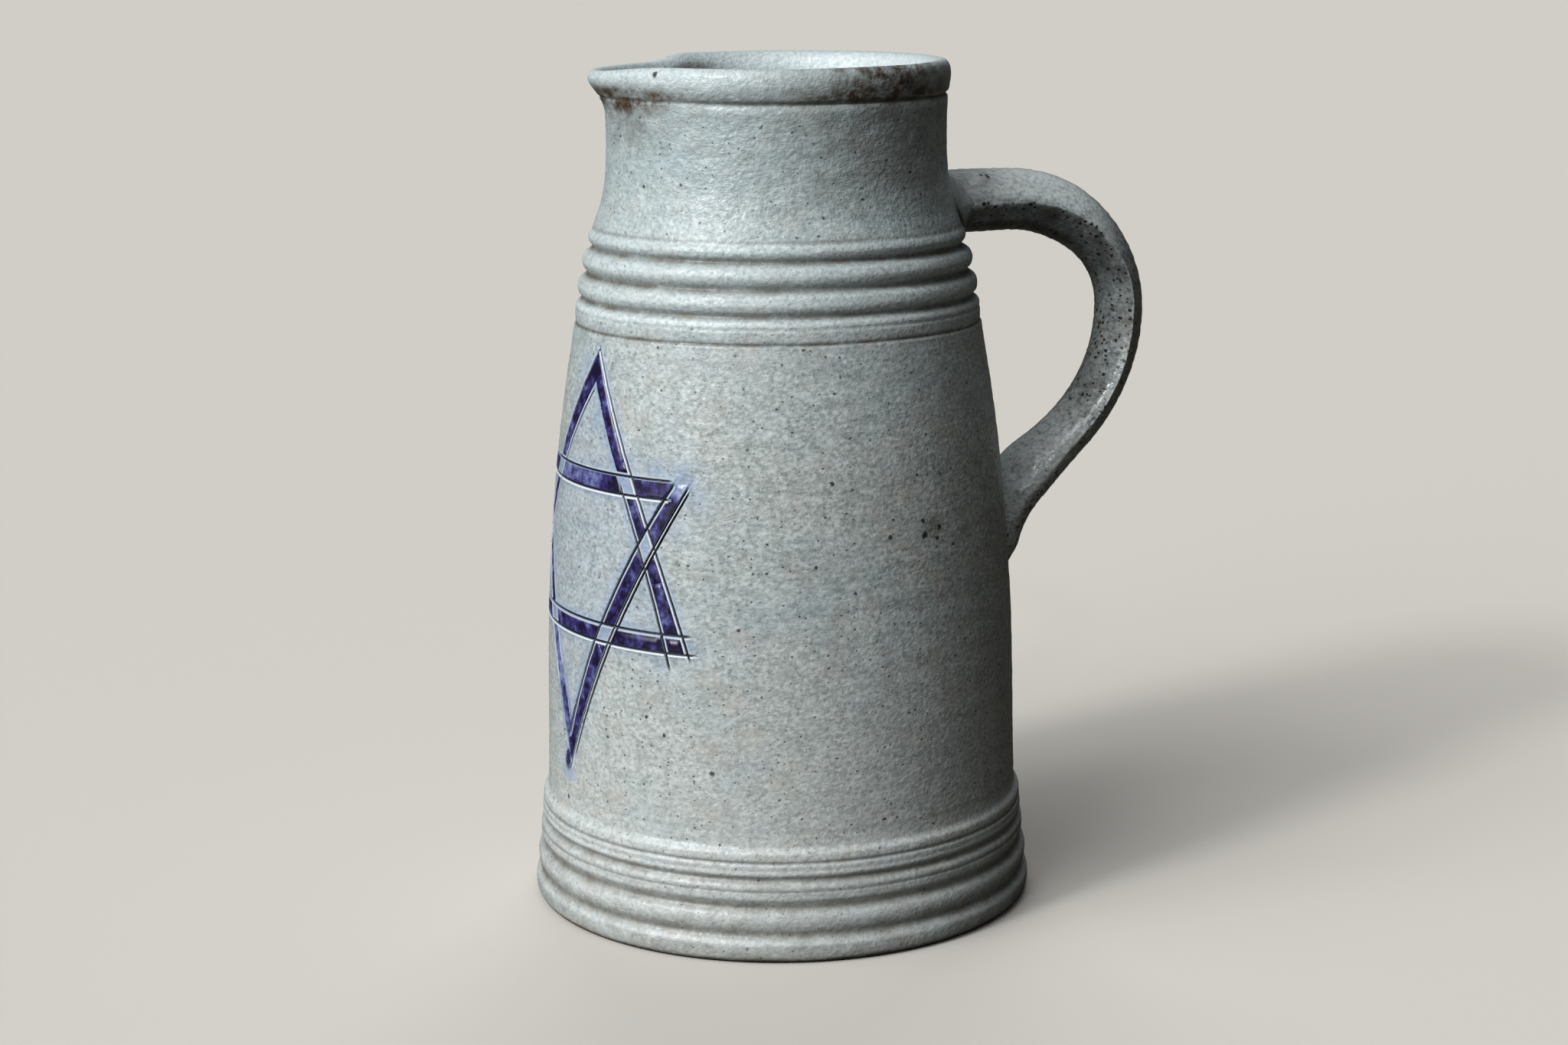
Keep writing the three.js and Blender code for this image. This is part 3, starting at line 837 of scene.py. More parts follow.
    def haze(self, points: np.ndarray) -> np.ndarray:
        """How much colour soaked into the wall beside the star.

        Args:
            points: Places along the wall and up it.

        Returns:
            From 0 to 1 for each.
        """
        beside, within = np.zeros(len(points)), np.zeros(len(points))
        for triangle in Triangle:
            depth = triangle.insets(points).min(1)
            past_bar = np.clip(np.abs(depth - self.bar_width / 2) - self.haze_from, 0, None)
            beside = np.maximum(beside, swell(past_bar, 0, self.haze_width))
            within = np.maximum(within, smoothstep(-self.haze_fade, self.haze_fade, depth))
        soaked = self.haze_beside * beside + self.haze_within * within
        for along, height, size, strength in self.bleeds:
            away = np.hypot(points[:, 0] - along, points[:, 1] - height)
            soaked = np.maximum(soaked, strength * swell(away, 0, size))
        return np.clip(soaked, 0, 1)

    def wash(self, points: np.ndarray) -> np.ndarray:
        """How thin the colour is.

        Args:
            points: Places along the wall and up it.

        Returns:
            0 where it is plain, up to 1 where it is washed out, and down to -0.5 where it pooled.
        """
        thin = np.zeros(len(points))
        for along, height, size, strength in self.washes:
            thin += strength * swell(np.hypot(points[:, 0] - along, points[:, 1] - height), 0, size)
        return np.clip(thin, -0.5, 1)

    def field_of(self, points: np.ndarray) -> list[str]:
        """Names the colour field that each point lies in.

        Args:
            points: Places along the wall and up it.

        Returns:
            The names, numbered clockwise from the top, or an empty string outside all fields.
        """
        names = [""] * len(points)
        clear = np.full(len(points), True)
        for stroke, (left, depth) in zip(self.strokes, self.nearest(points)):
            beside_burr = (left * stroke.lit > 0) & (depth > 0.2)
            edge = np.where(beside_burr, self.burr_end, self.cut_half_width)
            clear &= np.abs(left) > self.colour_reach * edge
        middle = (self.low + self.high) / 2
        sides = {Triangle.UPRIGHT: (6, 4, 2), Triangle.INVERTED: (3, 1, 5)}
        for triangle in Triangle:
            insets = triangle.insets(points)
            own, other = insets.min(1), triangle.other.insets(points).min(1)
            band = clear & (own > 0) & (own < self.bar_width)
            for i in np.flatnonzero(band & ((other < 0) | (other > self.bar_width))):
                turn = math.degrees(math.atan2(points[i, 0], points[i, 1] - middle)) % 360
                if other[i] < 0:
                    names[i] = f"tip_{round(turn / 60) % 6 + 1}"
                else:
                    names[i] = f"side_{sides[triangle][insets[i].argmin()]}"
        return names

    def layout(self, border: np.ndarray) -> tuple[np.ndarray, Faces, list[int]]:
        """Triangles over the patch, with edges along every cut.

        Args:
            border: The patch's edge, anticlockwise: along the wall, height.

        Returns:
            The points, the triangles, and for each point its number on the border or -1.
        """
        points = list(map(tuple, border))
        edges = [(i, (i + 1) % len(border)) for i in range(len(border))]
        offsets = [0, self.cut_half_width / 2, self.cut_half_width, self.burr_at, self.burr_end]
        for line in self.lines():
            for offset in sorted({sign * o for o in offsets for sign in (-1, 1)}):
                first = len(points)
                points.extend(map(tuple, line + leftwards(line) * offset))
                edges.extend((first + i, first + i + 1) for i in range(len(line) - 1))
        points.extend(map(tuple, self.filling(border)))
        flat = [Vector(p) for p in points]
        made, _, faces, origins, _, _ = delaunay_2d_cdt(flat, edges, [], 0, 1e-4, True)
        on_border = [min((i for i in found if i < len(border)), default=-1) for found in origins]
        return np.array([tuple(p) for p in made]), [tuple(f) for f in faces], on_border

    def filling(self, border: np.ndarray) -> np.ndarray:
        """Points between the cuts and the patch's edge, in staggered rows.

        Args:
            border: The patch's edge.

        Returns:
            One row for each point.
        """
        step, margin = self.fill_step, self.fill_step / 3
        low, high = border.min(0), border.max(0)
        rows = np.arange(low[1] + step / 2, high[1] - margin, step * self.fill_rows)
        columns = np.arange(low[0] + step / 2, high[0] - margin, step)
        grid = np.array([(c + (r % 2) * step / 2, row) for r, row in enumerate(rows) for c in columns])
        grid = grid[grid[:, 0] < high[0] - margin]
        near = np.min([np.abs(left) for left, _ in self.nearest(grid)], axis=0)
        return grid[near > self.burr_end + margin]


# The thrown body


class Stretch(IntEnum):
    """The stretches of the turned outline, from the middle of the base up and down into the hollow."""

    BASE = 0
    FOOT = 1
    WALL = 2
    SHOULDER = 3
    NECK = 4
    RIM = 5
    HOLLOW = 6


@dataclass
class Skin:
    """Points of the pot, with the marks that its finish reads at each."""

    points: np.ndarray
    clay_marks: np.ndarray
    star_marks: np.ndarray


@dataclass
class Patch:
    """The wall under the star: its points along the wall and up it, their bearings, and its triangles."""

    flat: np.ndarray
    bearing: np.ndarray
    triangles: Faces


@dataclass
class ThrownBody:
    """The wheel-thrown pot: one outline turned round the axis, then settled, chipped and pulled to a lip.

    Outlines are radius and height. Grooves and crests are height, half width and strength. Stains are
    strength, bearing and half turn, then a height and half height for blots, or two heights for rises.
    Dark bands at the foot's edge are a strength, two heights and how ragged the upper one is. Chips are
    a seed, the most waves in a turn, how much of them stays whole, and a strength.
    """

    columns: int = 200
    base: Points = ((0.0, 0.0), (40.0, 0.0), (75.4, 0.0))
    foot: Points = (
        (76.4, 0.0), (77.6, 0.7), (78.4, 2.2), (78.6, 4.0), (78.5, 5.6), (77.9, 6.9), (76.95, 8.1),
        (76.8, 8.9), (77.1, 9.9), (77.6, 11.3), (77.75, 13.0), (77.3, 14.9), (76.0, 16.3), (75.7, 17.1),
        (75.95, 18.0), (76.55, 19.2), (76.7, 20.0), (76.6, 21.3), (76.35, 21.8), (76.6, 22.3),
        (76.4, 23.4), (75.2, 24.6), (75.0, 25.2), (75.8, 26.2), (76.1, 27.2), (75.9, 28.1),
        (75.9, 29.5), (75.35, 30.2), (75.75, 31.0), (75.65, 32.2), (75.3, 33.2), (74.5, 34.1),
        (74.1, 35.0), (73.95, 38.5),
    )
    wall: Points = (
        (73.8, 44.0), (73.6, 52.0), (73.4, 64.0), (73.1, 77.0), (72.6, 92.0), (71.9, 103.0),
        (71.15, 114.0), (70.25, 125.0), (69.15, 136.0), (67.9, 147.0), (66.65, 156.0), (65.3, 165.0),
        (63.95, 173.0),
    )
    shoulder: Points = (
        (62.95, 179.5), (62.75, 180.6), (62.05, 181.2), (62.3, 181.9), (62.35, 183.6), (62.25, 185.0),
        (62.0, 185.5), (62.2, 186.0), (61.9, 187.3), (60.3, 188.8), (60.1, 189.3), (61.2, 190.7),
        (61.45, 192.5), (60.9, 194.5), (58.8, 196.2), (58.5, 196.8), (59.6, 198.5), (59.95, 200.2),
        (59.3, 202.2), (56.9, 204.1), (56.6, 204.7), (57.6, 206.1), (57.85, 207.3), (57.45, 208.6),
    )
    neck: Points = (
        (56.7, 209.6), (56.45, 210.3), (55.5, 213.0), (54.35, 216.0), (53.5, 219.2), (52.6, 223.8),
        (52.15, 229.0), (51.9, 236.0), (51.95, 243.0), (52.15, 248.2),
    )
    rim: Points = (
        (52.1, 249.2), (51.55, 249.7), (51.6, 250.15), (52.4, 250.9), (52.8, 252.8), (53.1, 255.4),
        (52.95, 257.3), (52.25, 259.0), (50.8, 259.95), (49.1, 259.8), (47.6, 258.7), (46.4, 256.5),
        (45.5, 253.0),
    )
    hollow: Points = (
        (44.95, 247.0), (44.85, 238.0), (45.2, 228.0), (46.7, 219.0), (49.6, 210.0), (53.2, 196.0),
        (56.0, 181.0), (59.9, 155.0), (63.2, 125.0), (65.2, 95.0), (66.3, 65.0), (66.6, 40.0),
        (66.0, 26.0), (63.2, 18.0), (58.0, 12.6), (50.0, 10.3), (38.0, 10.0), (18.0, 10.0), (0.0, 10.0),
    )
    steps: tuple[float, ...] = (9.0, 0.66, 2.0, 0.6, 1.4, 0.6, 3.8)
    # Grooves take dark pooled glaze, deepened as painted shade; crests take pale thin glaze, partly as
    # painted highlights
    grooves: Bands = (
        (8.7, 1.4, 0.65), (17.0, 1.4, 0.7), (21.8, 0.3, 0.5), (25.0, 1.1, 0.65), (30.2, 0.5, 0.55),
        (181.2, 0.5, 0.95), (189.0, 0.8, 0.9), (196.5, 1.0, 0.9), (204.4, 1.0, 0.85), (210.2, 0.5, 0.5),
        (249.9, 0.45, 0.95),
    )
    crests: Bands = (
        (6.3, 1.2, 0.6), (13.5, 1.6, 0.5), (20.0, 1.0, 0.4), (27.2, 0.7, 0.6), (29.4, 0.6, 0.6),
        (33.4, 0.6, 0.2), (186.8, 0.9, 0.9), (192.6, 1.3, 0.7), (200.4, 1.3, 0.7), (207.3, 0.9, 0.5),
        (248.3, 0.5, 0.9), (256.5, 3.2, 0.75),
    )
    smooth_bands: Bands = ((2.0, 34.0, 0.12), (180.0, 212.0, 0.3))
    band_fade: float = 3.0
    stain_blots: tuple[tuple[float, ...], ...] = (
        (1.4, 190.0, 28.0, 250.6, 3.8), (0.5, 198.0, 19.0, 243.0, 8.0),
    )
    # Rises on the right of rim and neck: partly brown staining, partly painted shade
    stain_and_shade_rises: tuple[tuple[float, ...], ...] = (
        (0.5, 300.0, 30.0, 247.0, 254.0), (0.55, 290.0, 34.0, 200.0, 250.0),
    )
    rim_stain: tuple[float, float, float] = (0.4, 251.4, 1.6)
    foot_stain: tuple[float, float, float] = (0.25, 2.0, 40.0)
    foot_dark: tuple[float, float, float, float] = (0.95, 0.6, 2.4, 0.9)
    foot_contact_shadow: tuple[float, float, float, float] = (0.8, 0.3, 1.7, 0.8)
    bare_foot: tuple[float, float, float] = (0.5, 0.5, 2.5)
    foot_fade: tuple[float, float] = (2.0, 14.0)
    oval: float = 0.16
    oval_phase: float = 1.2
    wobble: float = 0.07
    rim_wobble: float = 0.12
    finger_lines: float = 0.022
    finger_pitches: tuple[float, ...] = (2.3, 3.7, 5.9, 9.3)
    finger_phase: float = 2.4
    smooth_above: float = 245.0
    inner_ripple: float = 0.3
    inner_pitch: float = 9.5
    ripple_fade: tuple[float, float] = (16.0, 40.0)
    ripple_top: float = 250.0
    turning_line: tuple[float, float, float] = (105.4, 0.35, 0.14)
    turning_bearings: tuple[float, float] = (238.0, 318.0)
    turning_fade: float = 8.0
    chip_kinds: tuple[tuple[int, int, float, float], ...] = ((11, 60, 0.45, 1.0), (12, 90, 0.3, 0.35))
    chip_depth: float = 2.4
    chip_heights: tuple[float, float] = (0.2, 3.6)
    chip_shade: float = 2.5
    chip_radius: float = 74.0
    lip_bearing: float = 174.0
    lip_near_half: float = 46.0
    lip_far_half: float = 48.0
    lip_ramp: tuple[float, float] = (46.5, 63.0)
    lip_heights: tuple[float, float] = (244.0, 259.5)
    lip_reach: float = 4.4
    lip_drop: float = 2.3
    groove_fade: tuple[float, float] = (46.0, 66.0)
    groove_fill: tuple[float, float, float] = (249.8, 0.9, 0.6)
    rim_tilt: float = 1.1
    rim_tilt_bearing: float = 75.0
    tilt_heights: tuple[float, float] = (190.0, 262.0)
    crest_radii: tuple[float, float] = (50.8, 48.5)
    far_shade: tuple[float, float, float, float] = (116.0, 17.0, 255.6, 1.8)
    cut_shade: float = 1.8
    star: IncisedStar = field(default_factory=IncisedStar)

    def sections(self) -> list[Points]:
        """The outline's stretches, in order."""
        return [self.base, self.foot, self.wall, self.shoulder, self.neck, self.rim, self.hollow]

    def rows(self) -> tuple[np.ndarray, np.ndarray, np.ndarray]:
        """Cuts the outline into turned rows.

        Returns:
            The radius, the height and the stretch of each.
        """
        knots = np.array([knot for section in self.sections() for knot in section])
        owner = np.repeat(np.arange(len(self.steps)), [len(section) for section in self.sections()])
        chord = lengths_along(knots)
        at, kind = [], []
        for i, (start, end) in enumerate(zip(chord[:-1], chord[1:])):
            count = max(1, math.ceil((end - start) / self.steps[owner[i]]))
            at.extend(np.linspace(start, end, count, endpoint=False))
            kind.extend([owner[i]] * count)
        at = np.array([*at, chord[-1]])
        radius, height = (rounded(chord, knots[:, k], at) for k in range(2))
        return radius, height, np.array([*kind, owner[-1]])

    def outer_radius(self, height: np.ndarray) -> np.ndarray:
        """The outside radius.

        Args:
            height: Heights between the foot and the rim.

        Returns:
            The radius at each.
        """
        radius, level, kind = self.rows()
        outside = (kind > Stretch.BASE) & (kind < Stretch.RIM)
        return np.interp(height, level[outside], radius[outside])

    def settle(
        self, turn: np.ndarray, radius: np.ndarray, height: np.ndarray, inside: np.ndarray
    ) -> np.ndarray:
        """Moves points of the true turned shape to where throwing, pulling and firing left them.

        Args:
            turn: Bearings in radians.
            radius: Radii of the turned shape.
            height: Heights of the turned shape.
            inside: 1 for points of the hollow, 0 for the outside.

        Returns:
            One row of x, y and z for each point.
        """
        degrees = np.degrees(turn) % 360
        standing = smoothstep(*self.foot_fade, height)
        radius = radius + self.oval * standing * np.cos(2 * turn - self.oval_phase)
        radius = radius + self.wobble * standing * wander(turn, seed=3)

        # Finger lines outside, throwing ripples inside, and one line scratched while the pot turned
        phase = self.finger_phase
        lines = sum(np.cos(FULL_TURN * height / p + phase * p + turn) for p in self.finger_pitches)
        radius = radius + self.finger_lines * lines * standing * (1 - inside) * (height < self.smooth_above)
        ripple = np.sin(FULL_TURN * height / self.inner_pitch + turn) * inside
        ripple = ripple * smoothstep(*self.ripple_fade, height) * (height < self.ripple_top)
        radius = radius + self.inner_ripple * ripple
        level, half, depth = self.turning_line
        first, last = self.turning_bearings
        held = smoothstep(first, first + self.turning_fade, degrees)
        held = held * (1 - smoothstep(last - self.turning_fade, last, degrees))
        radius = radius - depth * held * swell(height, level, half) * (1 - inside)
        broken = (1 - inside) * (radius > self.chip_radius)
        radius = radius - self.chip_depth * self.chips(turn, height) * broken

        # The lip swings out on both sides and fills the groove below it. Its drop ends in a ramp behind.
        away = degrees - self.lip_bearing
        upper = smoothstep(*self.lip_heights, height)
        half_turn = np.where(away > 0, self.lip_near_half, self.lip_far_half)
        swing = np.cos(np.clip(away / half_turn, -1, 1) * math.pi / 2) ** 2
        dropped = np.where(away > 0, swing, 1 - smoothstep(*self.lip_ramp, -away))
        level, half, depth = self.groove_fill
        filled = (1 - smoothstep(*self.groove_fade, np.abs(away))) * swell(height, level, half) * (1 - inside)
        radius = radius + self.lip_reach * swing * upper + depth * filled
        height = height - self.lip_drop * dropped * upper * upper
        tilted = np.cos(turn - math.radians(self.rim_tilt_bearing))
        tilted = tilted * smoothstep(*self.tilt_heights, height)
        height = height + self.rim_tilt * tilted + self.rim_wobble * wander(turn, seed=5) * standing
        return np.stack([radius * np.cos(turn), radius * np.sin(turn), height], axis=-1)

    def chips(self, turn: np.ndarray, height: np.ndarray) -> np.ndarray:
        """How much of the foot's bottom edge is chipped away.

        Args:
            turn: Bearings in radians.
            height: Heights.

        Returns:
            From 0 to about 1 for each point.
        """
        chipped = sum(
            share * np.clip(wander(turn, seed, waves) - whole, 0, 1)
            for seed, waves, whole, share in self.chip_kinds
        )
        return chipped * (1 - smoothstep(*self.chip_heights, height))

    @staticmethod
    def foot_band(turn: np.ndarray, height: np.ndarray, band: tuple[float, ...]) -> np.ndarray:
        """A dark band at the foot's bottom edge, with a ragged top."""
        share, low, high, ragged = band
        return share * (1 - smoothstep(low, high + ragged * wander(turn, seed=13, waves=40), height))

    def clay_marks(self, turn: np.ndarray, height: np.ndarray, kind: np.ndarray) -> np.ndarray:
        """Where the glaze pooled or ran thin, with painted shade deepening grooves, chips and the foot's
        edge, and painted highlights on crests.

        Args:
            turn: Bearings in radians.
            height: Heights.
            kind: The stretch of each point.

        Returns:
            Groove, crest, inside and bare clay, each from 0 to 1, for each point.
        """
        outside = (kind > Stretch.BASE) & (kind < Stretch.HOLLOW)
        groove, crest = (
            np.max([share * swell(height, level, half) for level, half, share in bands], axis=0)
            for bands in (self.grooves, self.crests)
        )
        for low, high, share in self.smooth_bands:
            smooth = smoothstep(low, low + self.band_fade, height)
            crest = np.maximum(crest, share * smooth * smoothstep(high, high - self.band_fade, height))
        within = np.where(kind == Stretch.HOLLOW, 1.0, 0.0)
        share, low, high = self.bare_foot
        bare = np.where(kind == Stretch.BASE, 1.0, share * (1 - smoothstep(low, high, height)) * outside)
        # The chips and a ragged band at the foot's bottom edge take the pooled colour: partly a worn edge,
        # partly painted shade and contact shadow
        chipped = np.clip(self.chip_shade * self.chips(turn, height), 0, 1)
        groove = np.max([groove, self.foot_band(turn, height, self.foot_dark), chipped], axis=0)
        return np.stack([groove * outside, crest * outside, within, bare], axis=-1)

    def stains(self, turn: np.ndarray, height: np.ndarray) -> np.ndarray:
        """Brown staining under the lip, round the rim and near the foot, and a darkening up the right of the
        neck and rim that is partly staining and partly painted shade.

        Args:
            turn: Bearings in radians.
            height: Heights.

        Returns:
            From 0 to 1 for each point.
        """
        degrees = np.degrees(turn) % 360
        share, level, half = self.rim_stain
        total = share * swell(height, level, half)
        share, low, high = self.foot_stain
        total = total + share * (1 - smoothstep(low, high, height))
        for share, bearing, half_turn, level, half in self.stain_blots:
            total = total + share * swell(degrees, bearing, half_turn) * swell(height, level, half)
        for share, bearing, half_turn, low, high in self.stain_and_shade_rises:
            total = total + share * swell(degrees, bearing, half_turn) * smoothstep(low, high, height)
        return np.clip(total, 0, 1)

    def turned_skin(self) -> Skin:
        """Turns the rows between the middles of base and floor.

        Returns:
            Their points and marks, row by row.
        """
        radius, height, kind = (np.repeat(v[1:-1, None], self.columns, axis=1) for v in self.rows())
        turn = FULL_TURN * np.arange(self.columns) / self.columns
        angle = np.repeat(turn[None], len(radius), axis=0)
        degrees = np.degrees(angle)
        points = self.settle(angle, radius, height, (kind == Stretch.HOLLOW).astype(float))

        # Past its crest the rim belongs to the hollow, with painted shade in the pooled colour inside the far
        # side of the mouth
        past_crest = smoothstep(*self.crest_radii, radius) * (kind == Stretch.RIM)
        near_lip = 1 - smoothstep(*self.groove_fade, np.abs(degrees - self.lip_bearing))
        bearing, half_turn, level, half = self.far_shade
        shade = swell(degrees, bearing, half_turn) * swell(height, level, half) * past_crest
        clay = self.clay_marks(angle, height, kind)
        clay[..., 0] *= 1 - near_lip * (height > self.smooth_above)
        clay[..., 0] = np.maximum(clay[..., 0], shade)
        clay[..., 2] = np.maximum(clay[..., 2], past_crest)
        outside = (kind > Stretch.BASE) & (kind < Stretch.HOLLOW)
        # Painted contact shadow: a near-black band with a ragged top along the foot's bottom edge, in the cut
        # colour
        painted_contact_shadow = self.foot_band(angle, height, self.foot_contact_shadow) * outside
        stained_and_shaded = self.stains(angle, height) * outside * (1 - past_crest)
        star = np.stack([painted_contact_shadow, 0 * painted_contact_shadow, 0 * painted_contact_shadow, stained_and_shaded], axis=-1)
        return Skin(points.reshape(-1, 3), clay.reshape(-1, 4), star.reshape(-1, 4))

    def patch_skin(self, patch: Patch) -> Skin:
        """Lays the star's patch on the wall, with its cuts and burrs.

        Args:
            patch: The patch.

        Returns:
            Its points and marks.
        """
        star, height = self.star, patch.flat[:, 1]
        relief, cut, burr = star.relief(patch.flat)
        radius = self.outer_radius(height) + relief
        points = self.settle(patch.bearing, radius, height, np.zeros(len(height)))
        clay = self.clay_marks(patch.bearing, height, np.full(len(height), Stretch.WALL.value))
        # The cuts are painted near-black: partly cobalt pooled in them, partly painted shade
        dark = np.clip(self.cut_shade * cut, 0, 1)
        stained_and_shaded = self.stains(patch.bearing, height)
        return Skin(points, clay, np.stack([dark, burr, star.haze(patch.flat), stained_and_shaded], axis=-1))

    def window(self, level: np.ndarray, kind: np.ndarray) -> tuple[range, range]:
        """The window in the turned rows that the star's patch fills.

        Args:
            level: The height of each row.
            kind: The stretch of each row.

        Returns:
            Its rows and its columns.
        """
        star = self.star
        on_wall = np.flatnonzero((kind == Stretch.WALL) | (kind == Stretch.SHOULDER))
        bottom, top = (int(on_wall[np.searchsorted(level[on_wall], z)]) for z in (star.low, star.high))
        first = math.ceil((star.bearing - star.half_turn) / 360 * self.columns)
        last = math.floor((star.bearing + star.half_turn) / 360 * self.columns)
        return range(bottom, top), range(first, last)

    def build(self, finish: bpy.types.Material) -> Patch:
        """Makes the body's mesh and seats it.

        Args:
            finish: Its material.

        Returns:
            The star's patch.
        """
        columns = self.columns
        _, level, kind = self.rows()
        count = len(level) - 2
        across, around = self.window(level[1:-1], kind[1:-1])
        edge = [(across.start, j) for j in around] + [(i, around.stop) for i in across]
        edge += [(across.stop, j) for j in range(around.stop, around.start, -1)]
        edge += [(i, around.start) for i in range(across.stop, across.start, -1)]

        # The patch is laid out flat, at the scale of the wall's radius behind the star's middle
        star = self.star
        middle_radius = float(self.outer_radius(np.array([(star.low + star.high) / 2]))[0])
        bearing = FULL_TURN * np.array([j for _, j in edge]) / columns - math.radians(star.bearing)
        border = np.stack([bearing * middle_radius, level[1:-1][[i for i, _ in edge]]], axis=1)
        flat, triangles, on_border = star.layout(border)
        patch = Patch(flat, flat[:, 0] / middle_radius + math.radians(star.bearing), triangles)

        # All vertices in one list: the rows, the patch, and the middles of base and floor
        middles = Skin(
            np.array([[0, 0, level[0]], [0, 0, level[-1]]]), np.array([[0, 0, 0, 1], [0, 0, 1, 0]]),
            np.zeros((2, 4)),
        )
        skins = (self.turned_skin(), self.patch_skin(patch), middles)
        vertices = np.concatenate([skin.points for skin in skins])
        faces = [
            quad for n, quad in enumerate(ring_faces(count, columns))
            if n // columns not in across or n % columns not in around
        ]
        faces += cap_faces(count, columns, len(vertices) - 2)
        number = [
            edge[b][0] * columns + edge[b][1] if b >= 0 else count * columns + i
            for i, b in enumerate(on_border)
        ]
        faces += [tuple(number[i] for i in triangle) for triangle in triangles]

        # Rows behind the patch are left out
        used = np.unique(np.concatenate([np.array(face) for face in faces]))
        lookup = np.full(len(vertices), -1)
        lookup[used] = np.arange(len(used))
        faces = [tuple(int(lookup[i]) for i in face) for face in faces]
        piece = new_piece("turned_body", vertices[used], faces, finish)
        paint(piece, "clay_marks", np.concatenate([skin.clay_marks for skin in skins])[used])
        paint(piece, "star_marks", np.concatenate([skin.star_marks for skin in skins])[used])
        seat(piece, "thrown_body")
        return patch

    def build_colour(self, patch: Patch, finish: bpy.types.Material) -> None:
        """Makes the twelve fields of colour as thin plates that lie on the wall between the cuts.

        Args:
            patch: The star's patch.
            finish: The colour's material.
        """
        star, flat = self.star, patch.flat
        radius = self.outer_radius(flat[:, 1]) + star.relief(flat)[0]
        corners = np.array(patch.triangles)
        field_names = star.field_of(flat[corners].mean(1))
        near = np.min([np.abs(left) for left, _ in star.nearest(flat)], axis=0)
        for name in sorted(set(field_names) - {""}):
            mine = corners[[n == name for n in field_names]]
            used, local = np.unique(mine, return_inverse=True)
            dome = smoothstep(star.cut_half_width, star.colour_edge, near[used])
            sides = [
                self.settle(patch.bearing[used], radius[used] + lift, flat[used, 1], np.zeros(len(used)))
                for lift in (star.colour_lift + star.colour_dome * dome, -star.colour_sink)
            ]
            faces = plate_faces([tuple(t) for t in local.reshape(-1, 3).tolist()], len(used))
            piece = new_piece(f"brushed_{name}", np.concatenate(sides), faces, finish)
            wash = np.tile(star.wash(flat[used]), 2)
            paint(piece, "wash", np.repeat(wash[:, None], 4, axis=1))
            seat(piece, f"cobalt_{name}")


# The handle and its joints


